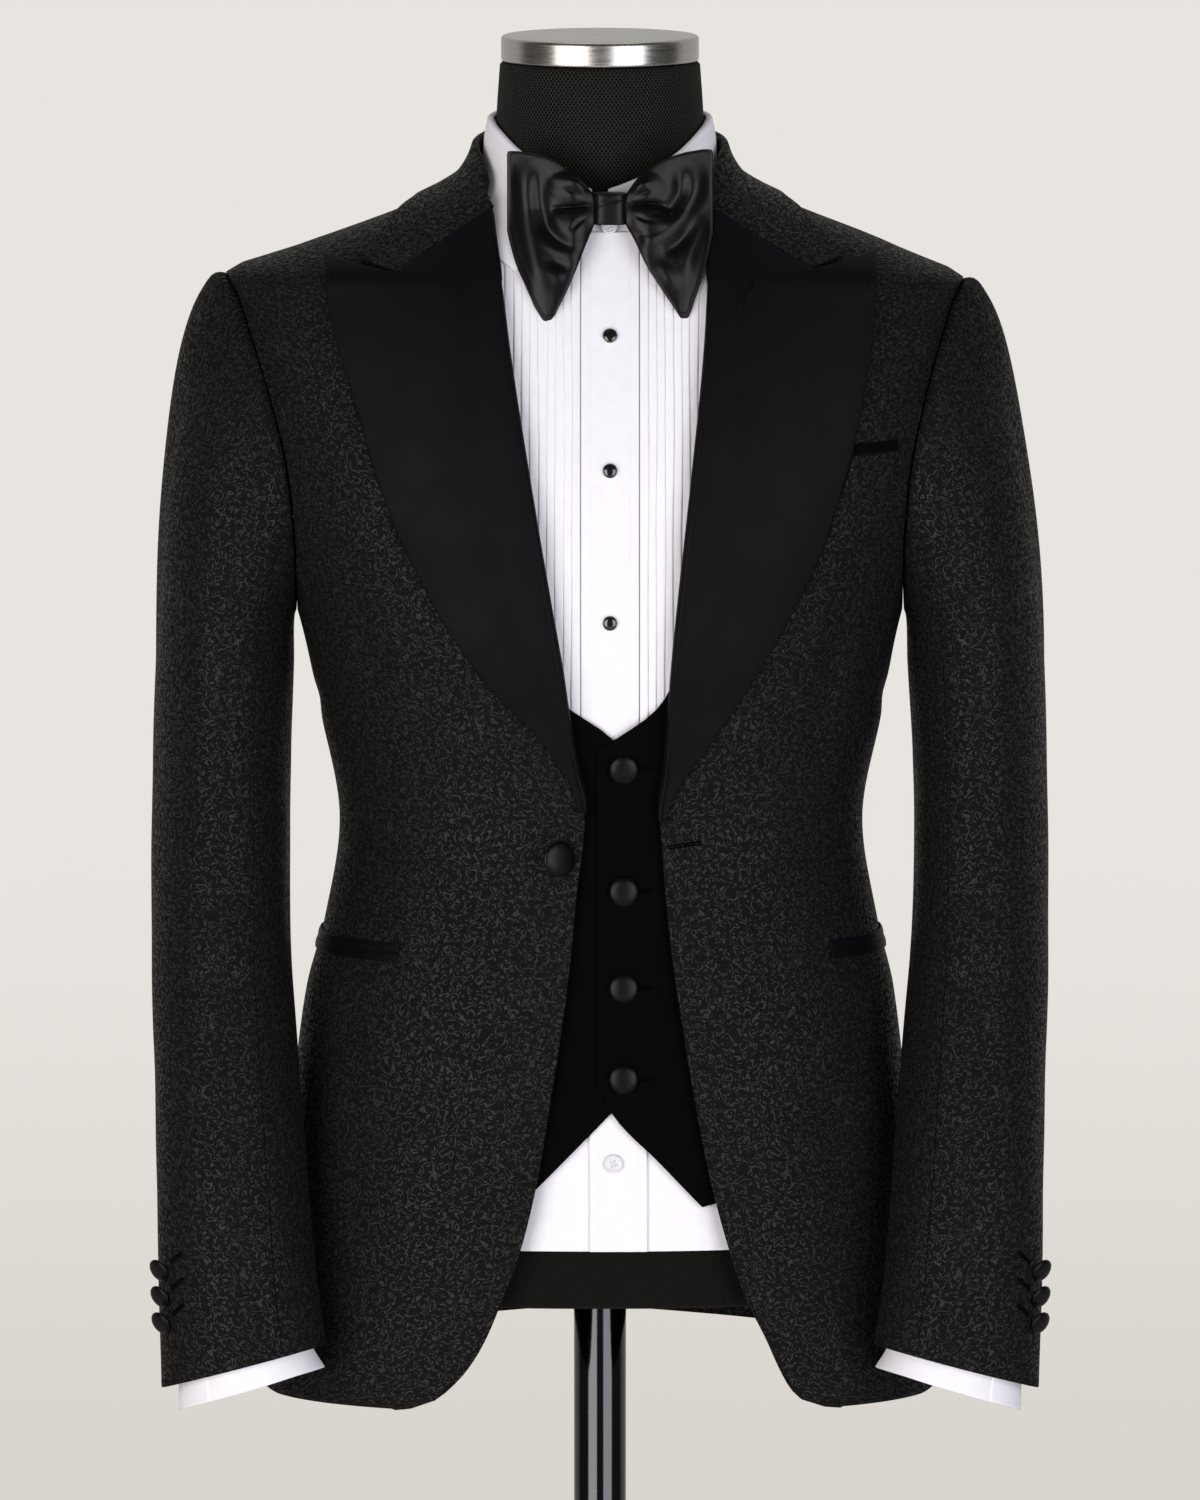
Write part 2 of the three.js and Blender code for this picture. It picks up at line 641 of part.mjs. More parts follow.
function buildPockets() {
  for (const { name, side } of SIDES) {
    const { x, z } = HIP_POCKETS[name];
    const start = jacket.angleOfX(x, z);
    // Steps round the body at this height until the jet has its length
    let [end, length] = [start, 0];
    while (length < JET.length) {
      const next = end + 0.005;
      length += jacket.point(end, z).distanceTo(jacket.point(next, z));
      end = next;
    }
    for (const [row, label] of [[0, "lower"], [1, "upper"]]) {
      const bottom = z + (row - 1) * (JET.height + JET.gap);
      add(
        `hip_jet_${label}_${name}`,
        patch({
          surface: jacket,
          side,
          across: steps(10, start, end),
          along: [bottom, bottom + JET.height],
          place: (angle, height) => [angle, height - 3 * ((angle - start) / (end - start))],
          low: JET.low,
          high: JET.low + JET.thickness,
        }),
        "satin",
      );
    }
  }
  const strip = (name, [low, high], [from, to], thickness, material) =>
    add(
      name,
      patch({
        surface: jacket,
        across: steps(4),
        along: [low, high],
        place: (s, z) => [jacket.angleOfX(mix(from(z), to(z), s), z), z + 1.5 * s],
        low: LAYER_GAP,
        high: LAYER_GAP + thickness,
      }),
      material,
    );
  const lapelEdge = column(LAPELS.left.edge.map(([x, z]) => ({ x, z })), "z", "x");
  const leftEdge = (z) => lapelEdge(z) + 0.9;
  strip("breast_welt", [1231, 1253.6], [leftEdge, (z) => 176.5 + (z - 1231) * 0.12], 1.4, "brocade");
  strip("breast_pocket_mouth", [1254.2, 1260.5], [leftEdge, () => 180.5], 0.9, "satin");
}

// Buttons: domed and covered in cloth. A shank, where there is one, reaches down from the back.
function coveredButton(name, { radius, height, shank = 0, segments = 10 }, position, facing) {
  const stem = shank > 0 ? [[0, -shank], [radius * 0.3, -shank], [radius * 0.3, 0]] : [[0, 0]];
  const dome = [[radius * 0.86, 0], [radius, height * 0.4], [radius * 0.78, height * 0.82], [0, height]];
  return turned(name, [...stem, ...dome], segments, "satin", position, facing);
}

const JACKET_BUTTON = { x: 25, z: 1012, radius: 11, height: 4.5, shank: 4, stand: 5.6, segments: 20, turn: degrees(24) };
const CUFF_BUTTONS = { count: 3, radius: 7.4, height: 3.4, angle: degrees(24), first: 0.9, spacing: 0.038 };
const WAISTCOAT_BUTTONS = { x: 14, radius: 8.9, height: 4.2, segments: 14, z: [1067, 991, 932, 877] };

function buildButtons() {
  // The fastening button stands turned towards the middle, as it hangs from its thread
  const angle = jacket.angleOfX(JACKET_BUTTON.x, JACKET_BUTTON.z);
  const position = jacket.at(angle, JACKET_BUTTON.z, JACKET_BUTTON.stand);
  const facing = jacket.normal(angle, JACKET_BUTTON.z);
  for (const vector of [position, facing]) vector.x *= -1;
  facing.applyAxisAngle(new THREE.Vector3(0, 0, 1), JACKET_BUTTON.turn);
  coveredButton("jacket_button", JACKET_BUTTON, position, facing);

  for (const { name, side } of SIDES) {
    for (let i = 0; i < CUFF_BUTTONS.count; i++) {
      const t = 1 + CUFF_BUTTONS.first - i * CUFF_BUTTONS.spacing;
      const place = sleeveAt(CUFF_BUTTONS.angle, t, LAYER_GAP);
      const out = sleeveNormal(CUFF_BUTTONS.angle, t);
      for (const vector of [place, out]) vector.x *= side;
      coveredButton(`cuff_button_${name}_${i + 1}`, CUFF_BUTTONS, place, out);
    }
  }
  WAISTCOAT_BUTTONS.z.forEach((z, i) => {
    const place = seat([868, ...WAISTCOAT_ROWS], WAISTCOAT_BUTTONS.x, z, OVERLAP_TOP + 0.3);
    coveredButton(`waistcoat_button_${i + 1}`, WAISTCOAT_BUTTONS, ...place);
  });
}

// Waistcoat: the left front overlaps the right
const WAISTCOAT = { low: 5, thickness: 1.2, lift: 1.9 };
const OVERLAP_TOP = WAISTCOAT.low + WAISTCOAT.thickness + WAISTCOAT.lift;
const WAISTCOAT_HOLE = { low: 1128, high: 1373, share: 0.5 };
const NECKLINE_ROWS = [1062, 1079, 1085, 1109, 1145, 1207, 1263];
const WAISTCOAT_TOP = 1389;
const WAISTCOAT_ROWS = [900, ...levels(901, 1056), ...NECKLINE_ROWS, ...levels(1270, 1388), WAISTCOAT_TOP];
const WAISTCOAT_BASE = 900; // below this the rows run down to the points
const WAISTCOAT_FRONTS = {
  left: {
    neckline: named(["z", "x"], [
      [860, -2], [1079, -2], [1085, 9], [1109, 38], [1138, 49], [1207, 62], [1263, 72], [1350, 90], [1389, 99],
    ]),
    hem: named(["x", "z"], [
      [-2, 875], [7, 856], [34, 827], [61, 798], [75, 802], [100, 818], [135, 836], [165, 846], [185, 850],
    ]),
    corners: [-2, 7, 34, 61, 80, 110, 139, 159],
  },
  right: {
    neckline: named(["z", "x"], [
      [860, -22], [1062, -22], [1085, -7], [1109, 24], [1138, 37], [1207, 50], [1263, 60], [1350, 78], [1389, 99],
    ]),
    hem: named(["x", "z"], [
      [-22, 872], [-7, 856], [21, 827], [49, 798], [63, 802], [90, 818], [130, 836], [165, 846], [185, 850],
    ]),
    corners: [-22, -7, 21, 49, 72, 105, 137, 159],
  },
};

function buildWaistcoat() {
  const sideShare = (z) => Math.max(0.003, armholeShare(WAISTCOAT_HOLE, z));
  for (const { name, side } of SIDES) {
    const { neckline, hem, corners } = WAISTCOAT_FRONTS[name];
    const [inner, hemZ] = [column(neckline, "z", "x"), column(hem, "x", "z")];
    const level = WAISTCOAT_BASE;
    const [from, to] = [form.angleOfX(inner(level), level), form.angleOfShare(-0.003, level)];
    const shareOfX = (x) => (form.angleOfX(x, level) - from) / (to - from);
    const across = [...corners.map(shareOfX), 1];
    const xOf = (s) => form.point(mix(from, to, s), level).x;
    const lift = (s, row) => {
      const angle = mix(form.angleOfX(inner(row), row), to, s);
      const x = form.point(angle, Math.max(row, level)).x;
      return name === "left" ? WAISTCOAT.lift * (1 - smooth(26, 44, x)) : 0;
    };
    add(
      `waistcoat_front_${name}`,
      patch({
        surface: form,
        side,
        across,
        along: [0, 450, ...WAISTCOAT_ROWS],
        place: (s, row) => {
          const z = row >= level ? row : mix(hemZ(xOf(s)), level, row / level);
          const outer = form.angleOfShare(-sideShare(z) - SEAM_SHARE, z);
          return [mix(form.angleOfX(inner(z), z), outer, s), z];
        },
        low: (s, row) => WAISTCOAT.low + lift(s, Math.max(row, level)),
        high: (s, row) => WAISTCOAT.low + WAISTCOAT.thickness + lift(s, Math.max(row, level)),
      }),
      "waistcoat",
    );
  }
  add(
    "waistcoat_back",
    patch({
      surface: form,
      across: steps(12, -1, 1),
      along: [852, ...levels(900, 1140), 1128, ...levels(1140, 1388), 1392],
      place: (s, z) => {
        const outer = form.angleOfShare(sideShare(z) + SEAM_SHARE, z);
        const angle = mix(outer, Math.PI / 2, 1 - Math.abs(s));
        return [s < 0 ? angle : Math.PI - angle, z];
      },
      low: WAISTCOAT.low + 0.8,
      high: WAISTCOAT.low + 0.8 + WAISTCOAT.thickness,
    }),
    "waistcoat",
  );
}

// Shirt
const SHIRT = { low: 0.5, high: 1.5, hem: 771 };
const SHIRT_HOLE = { low: 1165, high: 1361, share: 0.28 };
const PLACKET = { halfWidth: 17.4, low: 2.2, high: 3.5, rows: [SHIRT.hem, 840, ...levels(900, 1360), 1386] };
const BIB = { low: 2.7, high: 3.4, pleat: 0.8, count: 11, spacing: 5, rows: [1046, 1150, 1220, 1285, 1325, 1347, 1384] };
const SHIRT_TOP = 1388;
const SHIRT_ROWS = [SHIRT.hem, ...levels(900, SHIRT_TOP), SHIRT_TOP];
const STUDS = { radius: 4.3, height: 2.6, z: [1325, 1246, 1155] };
const neckSeam = column(
  named(["angle", "z"], [[-90, 1392], [-45, 1401], [0, 1412], [45, 1412], [90, 1412]]),
  "angle",
  "z",
);
const inDegrees = THREE.MathUtils.radToDeg;

function buildShirtBody() {
  const sideShare = (z) => Math.max(0.003, armholeShare(SHIRT_HOLE, z));
  const top = SHIRT_TOP;
  // Above the top level the rows close up to the neck seam
  const rows = [...SHIRT_ROWS, top + 0.35, top + 0.7, top + 1];
  const rowZ = (row, angle) => (row > top ? mix(top, neckSeam(inDegrees(angle)) - 0.4, row - top) : row);
  const middle = form.angleOfX(GARMENT_CENTRE, 1100);
  for (const { name, side } of SIDES) {
    const front = side > 0 ? middle : -Math.PI - middle;
    add(
      `shirt_front_${name}`,
      patch({
        surface: form,
        side,
        across: steps(7),
        along: rows,
        place: (s, row) => {
          const outer = form.angleOfShare(-sideShare(Math.min(row, top)) - SEAM_SHARE, Math.min(row, top));
          const angle = mix(front + 0.002, outer, s);
          return [angle, rowZ(row, angle)];
        },
        low: SHIRT.low,
        high: SHIRT.high,
      }),
      "shirt",
    );
  }
  add(
    "shirt_back",
    patch({
      surface: form,
      across: steps(12, -1, 1),
      along: rows,
      place: (s, row) => {
        const outer = form.angleOfShare(sideShare(Math.min(row, top)) + SEAM_SHARE, Math.min(row, top));
        const angle = mix(outer, Math.PI / 2, 1 - Math.abs(s));
        return [s < 0 ? angle : Math.PI - angle, rowZ(row, angle)];
      },
      low: SHIRT.low,
      high: SHIRT.high,
    }),
    "shirt",
  );
}

// The pleated bib and the placket between its halves
function buildShirtFrontTrim() {
  for (const { name, side } of SIDES) {
    const start = PLACKET.halfWidth + side * GARMENT_CENTRE + 0.4;
    // Each knife pleat is a slope and a step, so its two points lie close together
    const across = Array.from({ length: BIB.count }, (_, i) => [i, i + 0.82]).flat();
    across.push(BIB.count);
    add(
      `bib_${name}`,
      patch({
        surface: form,
        side,
        across,
        along: BIB.rows,
        place: (s, row) => {
          // The outer pleats end lower, under the collar
          const z = row - 16 * Math.max(0, (row - 1347) / 37) * smooth(4, 9, s);
          return [form.angleOfX(start + s * BIB.spacing, z), z];
        },
        low: BIB.low,
        high: (s) => BIB.high + (s % 1 === 0 ? 0 : BIB.pleat),
      }),
      "shirt",
    );
  }
  add(
    "placket",
    patch({
      surface: form,
      across: steps(4, -1, 1),
      along: PLACKET.rows,
      place: (s, z) => [form.angleOfX(GARMENT_CENTRE + s * PLACKET.halfWidth, z), z],
      low: PLACKET.low,
      high: PLACKET.high,
    }),
    "shirt",
  );
  const onPlacket = (z, x = GARMENT_CENTRE) => seat(PLACKET.rows, x, z, PLACKET.high + 0.3);
  STUDS.z.forEach((z, i) => {
    const { radius, height } = STUDS;
    const profile = [[0, 0], [radius, 0], [radius, height * 0.45], [radius * 0.75, height * 0.85], [0, height]];
    turned(`stud_${i + 1}`, profile, 14, "stud", ...onPlacket(z));
  });
  const pearl = [[0, 0], [5.6, 0], [5.8, 1.2], [5.2, 2.2], [4.2, 2.4], [3.4, 1.7], [0, 1.7]];
  turned("shirt_button_low", pearl, 20, "pearl", ...onPlacket(825, 8));
}

// Shirt collar: a stand round the neck and a turned-down fall
const COLLAR_TOP = named(["angle", "z"], [[-90, 1409], [-70, 1417], [-45, 1431], [-20, 1444], [0, 1449], [90, 1453]]);
const FALL = { low: 5.2, thickness: 1.4, tuck: 0.9 };
const FALL_EDGE = named(["foldAngle", "edgeAngle", "z"], [
  [-86, -74.5, 1362], [-68, -63, 1374], [-45, -45, 1391], [-20, -20, 1404], [0, 0, 1408], [90, 90, 1411],
]);

function buildShirtCollar() {
  const top = column(COLLAR_TOP, "angle", "z");
  const [edgeAngle, edgeZ] = ["edgeAngle", "z"].map((name) => column(FALL_EDGE, "foldAngle", name));
  // s runs from the right front end, at -1, round the back, at 0, to the left front end, at 1
  const strip = (name, reach, place, low, high, rows, count) =>
    add(
      name,
      wall({
        across: steps(count, -1, 1),
        along: rows,
        corner: (s, t) => {
          const [angle, z] = place(mix(90, -reach, Math.abs(s)), t);
          const pair = { outer: form.at(degrees(angle), z, high(t)), inner: form.at(degrees(angle), z, low(t)) };
          const side = s < 0 ? -1 : 1;
          pair.outer.x *= side;
          pair.inner.x *= side;
          return pair;
        },
      }),
      "shirt",
    );
  strip(
    "shirt_collar_stand",
    89,
    (a, t) => [a, mix(neckSeam(a) + 0.4, top(a) - 2, t)],
    () => 0.6,
    () => 1.5,
    [0, 0.25, 1],
    24,
  );
  // The fall starts close to the top of the stand and opens to make room for the band
  const low = (t) => FALL.low - FALL.tuck * (1 - smooth(0, 0.3, t));
  strip(
    "shirt_collar_fall",
    86,
    (a, t) => [mix(a, edgeAngle(a), t), mix(top(a), edgeZ(a), t)],
    low,
    (t) => low(t) + FALL.thickness,
    [0, 0.2, 0.55, 1],
    26,
  );
}

// Shirt sleeves inside the jacket's, and the cuffs that show below them
const SHIRT_CUFF = { middleX: 214, halfX: 39.5, middleY: -101, halfY: 32, thickness: 1.4, top: 742, reach: 13.5 };
const cuffPoint = (angle, z, out) =>
  new THREE.Vector3(
    SHIRT_CUFF.middleX + (SHIRT_CUFF.halfX + out) * Math.cos(angle),
    SHIRT_CUFF.middleY - 0.06 * (SHIRT_CUFF.top - z) - (SHIRT_CUFF.halfY + out) * Math.sin(angle),
    z,
  );

function buildShirtSleeves() {
  const angles = steps(15, 0, 337.5).map(degrees);
  const cuffBottom = (angle) =>
    CUFF_PLANE.middle - SHIRT_CUFF.reach - CUFF_PLANE.outerDrop * Math.cos(angle) + CUFF_PLANE.backDrop * Math.sin(angle);
  const inset = CLOTH + 2;
  const rows = [0.75, 1, 1.14, 1.28, 1.42, 1.55, 1.7, 2];
  const hemZ = (angle) => sleevePoint(angle, 2).z;
  for (const { name, side } of SIDES) {
    // The last rows draw in from the jacket's sleeve to the top of the cuff
    const inSleeve = (angle, row, depth) => {
      const end = 1 + (BICEPS - SHIRT_CUFF.top - 0.4) / (BICEPS - hemZ(angle));
      const own = sleeveAt(angle, Math.min(row, end), -inset - depth);
      const cuff = cuffPoint(angle, SHIRT_CUFF.top + 0.4, depth === 0 ? 0 : -SHIRT_CUFF.thickness);
      const drawn = row === 2 ? 1 : 0;
      return new THREE.Vector3(mix(own.x, cuff.x, drawn), mix(own.y, cuff.y, drawn), mix(own.z, cuff.z, drawn));
    };
    add(
      `shirt_sleeve_${name}`,
      wall({
        ring: true,
        across: steps(9, 0, 324).map(degrees),
        along: rows,
        corner: mirrorX((angle, t) => ({ outer: inSleeve(angle, t, 0), inner: inSleeve(angle, t, 1) }), side),
      }),
      "shirt",
    );
    add(
      `shirt_cuff_${name}`,
      wall({
        ring: true,
        across: angles,
        along: [0, 1],
        corner: mirrorX((angle, t) => {
          const z = mix(SHIRT_CUFF.top, cuffBottom(angle), t);
          return { outer: cuffPoint(angle, z, 0), inner: cuffPoint(angle, z, -SHIRT_CUFF.thickness) };
        }, side),
      }),
      "shirt",
    );
  }
}

// Bow tie: a knot, two pointed wings and the band under the shirt collar
const BOW = { z: 1402, front: -89, thickness: 6, knotHalf: 10.2, knotMiddle: -81, knotDepth: 9.8 };
const WINGS = {
  right: named(["x", "top", "bottom"], [
    [10.8, 8.5, -9.8], [15, 14.6, -22.5], [21, 21, -38], [29, 27, -55.5], [37, 30.5, -66.5],
    [43, 32, -59], [49, 33, -46], [55, 33.5, -32], [60, 32, -18],
  ]),
  left: named(["x", "top", "bottom"], [
    [10.8, 8.5, -9.8], [15, 16.5, -19], [21, 23, -32], [29, 28, -45], [38, 31.5, -58.5],
    [44, 33, -65], [50, 34, -52], [55, 34.6, -37], [59.5, 33.5, -20],
  ]),
};
// Folds that run out from the knot: where they cross the wing, how wide they are and how deep
const WING_FOLDS = named(["slope", "width", "depth"], [[0.62, 0.16, -2.6], [0.12, 0.12, 2.4], [-0.45, 0.18, -2.8], [-1.1, 0.2, 2.2]]);

function wingDepth(x, z) {
  const [out, up] = [x / 60, z / 33];
  const fall = Math.max(0, -z) * 0.24;
  let y = BOW.front - fall + 12 * out * out * (1 - 0.5 * smooth(0, 60, -z)) + 3.5 * (1 - smooth(0.16, 0.4, out));
  for (const { slope, width, depth } of WING_FOLDS) {
    const across = (up / Math.max(out, 0.15) - slope) / (width * 4);
    y += depth * Math.exp(-across * across) * smooth(0.1, 0.4, out) * (1 - smooth(0.6, 1, out));
  }
  return y;
}

function buildBowTie() {
  for (const { name, side } of SIDES) {
    const rows = WINGS[name];
    const corner = (i, t) => {
      const { x, top, bottom } = rows[i];
      const z = mix(bottom, top, t);
      const y = wingDepth(x, z);
      const rim = Math.sin(Math.PI * t) ** 0.6;
      const thickness = 2 + (BOW.thickness - 2) * rim * (1 - 0.35 * smooth(40, 60, x));
      const place = (depth) => new THREE.Vector3(GARMENT_CENTRE + side * x, depth, BOW.z + z);
      return { outer: place(y), inner: place(y + thickness) };
    };
    add(`bow_wing_${name}`, wall({ across: rows.map((_, i) => i), along: steps(8), corner }), "satin");
  }
  // The knot is a soft block, a little narrower at the middle of its height
  const angles = steps(11, 0, 330).map(degrees);
  const profile = named(["share", "size"], [[-1, 0.8], [-0.75, 1], [0, 0.94], [0.75, 1], [1, 0.8]]);
  const points = profile.flatMap(({ share, size }) =>
    angles.map((angle) => {
      const [c, s] = [Math.cos(angle), Math.sin(angle)];
      const round = (value) => Math.sign(value) * Math.abs(value) ** 0.6;
      return new THREE.Vector3(
        GARMENT_CENTRE + BOW.knotHalf * size * round(c),
        BOW.knotMiddle + BOW.knotDepth * size * round(s),
        BOW.z + 9.4 * share,
      );
    }),
  );
  const count = angles.length;
  const triangles = [];
  const [foot, head] = [points.length, points.length + 1];
  for (const end of [-9.6, 9.6]) points.push(new THREE.Vector3(GARMENT_CENTRE, BOW.knotMiddle, BOW.z + end));
  const last = (profile.length - 1) * count;
  for (let i = 0; i < count; i++) {
    const next = (i + 1) % count;
    triangles.push([foot, next, i], [head, last + i, last + next]);
    for (let row = 0; row < last; row += count) {
      triangles.push([row + i, row + next, row + count + next], [row + i, row + count + next, row + count + i]);
    }
  }
  add("bow_knot", closed(points, triangles), "satin");
  add(
    "bow_band",
    patch({
      surface: form,
      ring: true,
      across: steps(19, 0, 342).map(degrees),
      along: [0, 1],
      place: (angle, t) => {
        const middle = 1402 + 26 * smooth(-1, 0.2, Math.sin(angle));
        return [angle, middle - 6 + 12 * t];
      },
      low: 3.2,
      high: 4.2,
    }),
    "satin",
  );
}

buildForm();
buildJacketBody();
for (const { name, side } of SIDES) buildLapel(name, side);
buildJacketCollar();
buildSleeves();
buildPockets();
buildButtons();
buildWaistcoat();
buildShirtBody();
buildShirtFrontTrim();
buildShirtCollar();
buildShirtSleeves();
buildBowTie();

export default suit;
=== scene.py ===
# %% [markdown]
# # A dinner suit on a dress form
#
# The imported CAD part is the fixed frame: it says where every piece sits and how big it is. This script
# dresses it. Each cloth piece becomes a thin shell with rounded edges on the form of its solid, with
# creases placed one by one, and each fitting gets a finer mesh and a procedural material.
#
# Everything is worked out in millimetres with numpy and turned into metres when a mesh is made.

# %% Load the frame
import math

import bpy
import numpy as np
from mathutils import Matrix, Vector


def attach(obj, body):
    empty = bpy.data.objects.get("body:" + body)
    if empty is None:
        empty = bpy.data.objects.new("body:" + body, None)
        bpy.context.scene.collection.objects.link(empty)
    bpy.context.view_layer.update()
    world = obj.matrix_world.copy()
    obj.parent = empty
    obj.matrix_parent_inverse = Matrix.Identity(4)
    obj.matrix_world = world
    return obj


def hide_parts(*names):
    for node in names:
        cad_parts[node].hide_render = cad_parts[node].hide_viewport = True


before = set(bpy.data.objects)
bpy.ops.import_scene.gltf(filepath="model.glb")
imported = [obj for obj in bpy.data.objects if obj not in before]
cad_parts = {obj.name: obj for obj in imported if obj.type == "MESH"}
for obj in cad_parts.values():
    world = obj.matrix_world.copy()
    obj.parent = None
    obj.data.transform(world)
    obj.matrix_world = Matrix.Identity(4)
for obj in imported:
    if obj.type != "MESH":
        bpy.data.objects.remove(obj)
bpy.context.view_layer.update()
print("frame:", len(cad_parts), "nodes")

MM = 0.001
GARMENT_CENTRE = 6  # the front is dressed 6 mm to the wearer's left of the form's middle
SIDES = {"left": 1, "right": -1}  # the wearer's left is +X

# %% [markdown]
# ## The body's surfaces
#
# A tailor thinks of a jacket as a surface round the body, cut into panels. The same is done here: a
# table of sections is lofted into a smooth surface, and a panel is a part of it between two angles
# and two heights. Blender's own lofts need a curve for each section. A function is simpler, because
# everything that lies on the cloth can ask it for a point and a normal.

# %% Smooth curves through tables
def table(names, rows):
    """Names the columns of a short table"""
    return [dict(zip(names.split(), row)) for row in rows]


def mix(a, b, share):
    return a + (b - a) * share


def smooth(low, high, x):
    """0 below low, 1 above high, and a soft step between them"""
    share = np.clip((np.asarray(x, float) - low) / (high - low), 0, 1)
    return share * share * (3 - 2 * share)


def unit(vectors):
    return vectors / np.maximum(np.linalg.norm(vectors, axis=-1, keepdims=True), 1e-12)


def curve_through(rows, key, value):
    """A smooth curve through one column of a table, with no overshoot between its rows"""
    rows = sorted(rows, key=lambda row: row[key])
    x = np.array([row[key] for row in rows], float)
    y = np.array([row[value] for row in rows], float)
    gap, slope = np.diff(x), np.diff(y) / np.diff(x)
    tangent = np.zeros_like(y)
    tangent[0], tangent[-1] = slope[0], slope[-1]
    for i in range(1, len(x) - 1):
        before, after = slope[i - 1], slope[i]
        if before * after > 0:
            w1, w2 = 2 * gap[i] + gap[i - 1], gap[i] + 2 * gap[i - 1]
            tangent[i] = (w1 + w2) / (w1 / before + w2 / after)

    def at(values):
        inside = np.clip(values, x[0], x[-1])
        i = np.clip(np.searchsorted(x, inside, side="right") - 1, 0, len(x) - 2)
        t = (inside - x[i]) / gap[i]
        rise = t * t * (3 - 2 * t)
        bend = tangent[i] * t * (1 - t) ** 2 - tangent[i + 1] * t * t * (1 - t)
        return y[i] * (1 - rise) + y[i + 1] * rise + gap[i] * bend

    return at


# %% The torso surfaces of the jacket and of the dress form
ARMHOLE = {"low": 1150, "high": 1355, "share": 0.544}
ARMHOLE_EDGE = table("z x", [
    (1150, 184), (1185, 184), (1222, 186.5), (1248, 190), (1269, 195), (1297, 203), (1324, 212),
    (1348, 221.5), (1355, 227),
])


def armhole_share(hole, z):
    """How far before the middle the armhole's edge lies at a height, as a share of the depth there"""
    s = (2 * np.asarray(z, float) - hole["low"] - hole["high"]) / (hole["high"] - hole["low"])
    return np.where(np.abs(s) >= 1, 0, hole["share"] * np.sqrt(np.clip(1 - s * s, 0, 1)))


def armhole_floor(hole, share):
    """The height of the armhole's lower edge at a share of the depth"""
    ratio = np.minimum(1, np.abs(share) / hole["share"])
    return (hole["low"] + hole["high"]) / 2 - (hole["high"] - hole["low"]) / 2 * np.sqrt(1 - ratio**2)


def signed_power(value, exponent):
    return np.sign(value) * np.abs(value) ** exponent


class Torso:
    """A surface round the body. Angle -90 degrees is the front, 0 the wearer's left, 90 the back."""

    def __init__(self, rows, armhole_x=None):
        names = ("width", "front", "back", "power")
        self.plain_width, self.front, self.back, self.power = (curve_through(rows, "z", n) for n in names)
        self.armhole_x = armhole_x

    def width(self, z):
        if self.armhole_x is None:
            return self.plain_width(z)
        share, power = armhole_share(ARMHOLE, z), self.power(z)
        at_armhole = self.armhole_x(z) / (1 - share**power) ** (1 / power)
        return np.where(share > 0, at_armhole, self.plain_width(z))

    def point(self, angle, z):
        angle, z = np.broadcast_arrays(np.asarray(angle, float), np.asarray(z, float))
        exponent = 2 / self.power(z)
        depth = np.where(np.sin(angle) < 0, self.front(z), self.back(z))
        x = self.width(z) * signed_power(np.cos(angle), exponent)
        return np.stack([x, depth * signed_power(np.sin(angle), exponent), z], axis=-1)

    def normal(self, angle, z):
        around = self.point(angle + 0.01, z) - self.point(angle - 0.01, z)
        up = self.point(angle, z + 1.5) - self.point(angle, z - 1.5)
        return unit(np.cross(around, up))

    def angle_of_x(self, x, z):
        ratio = np.minimum(1, np.abs(x) / self.width(z))
        return -np.arccos(np.sign(x) * ratio ** (self.power(z) / 2))

    def angle_of_share(self, share, z):
        return np.sign(share) * np.arcsin(np.abs(share) ** (self.power(z) / 2))


jacket = Torso(
    table("z width front back power", [
        (1446, 73, 66, 80, 2.0), (1430, 75.5, 67, 81, 2.0), (1415, 83, 69, 83, 2.0),
        (1407, 94, 71, 84, 2.05), (1399, 111, 73, 86, 2.1), (1385, 147, 77, 90, 2.2),
        (1370, 188, 83, 95, 2.25), (1355, 227, 90, 99, 2.3), (1330, 226, 100, 105, 2.3),
        (1300, 226, 110, 111, 2.3), (1250, 219, 122, 117, 2.3), (1200, 206, 128, 118, 2.3),
        (1150, 184, 128, 115, 2.3), (1090, 171, 121, 106, 2.3), (1022, 158.6, 114, 97, 2.3),
        (960, 168, 116, 101, 2.3), (918, 179, 118, 107, 2.3), (860, 187, 120, 114, 2.3),
        (800, 194, 122, 119, 2.35), (730, 202, 124, 122, 2.4), (660, 209, 126, 124, 2.4),
    ]),
    curve_through(ARMHOLE_EDGE, "z", "x"),
)
form = Torso(
    table("z width front back power", [
        (1486, 60.5, 60.5, 60.5, 2.0), (1452, 62.8, 62.8, 62.8, 2.0), (1420, 64, 64, 65, 2.0),
        (1405, 72, 64.5, 68, 2.0), (1394, 92, 67, 72, 2.05), (1380, 125, 71.5, 78, 2.1),
        (1362, 165, 78, 86, 2.2), (1345, 186, 84, 91, 2.25), (1320, 192, 92, 97, 2.3),
        (1280, 188, 103, 102, 2.3), (1230, 176, 112, 106, 2.3), (1150, 171, 115, 103, 2.3),
        (1090, 159, 109, 95, 2.3), (1022, 146.5, 102, 86, 2.3), (960, 155, 103, 90, 2.3),
        (918, 165, 105, 95, 2.3), (860, 173, 107, 101, 2.3), (800, 178, 109, 105, 2.35),
        (734, 181, 110, 107, 2.4),
    ])
)
print("chest girth of the jacket's surface:", round(sum(
    np.linalg.norm(np.diff(jacket.point(np.linspace(0, 2 * np.pi, 200), 1180.0), axis=0), axis=1))), "mm")
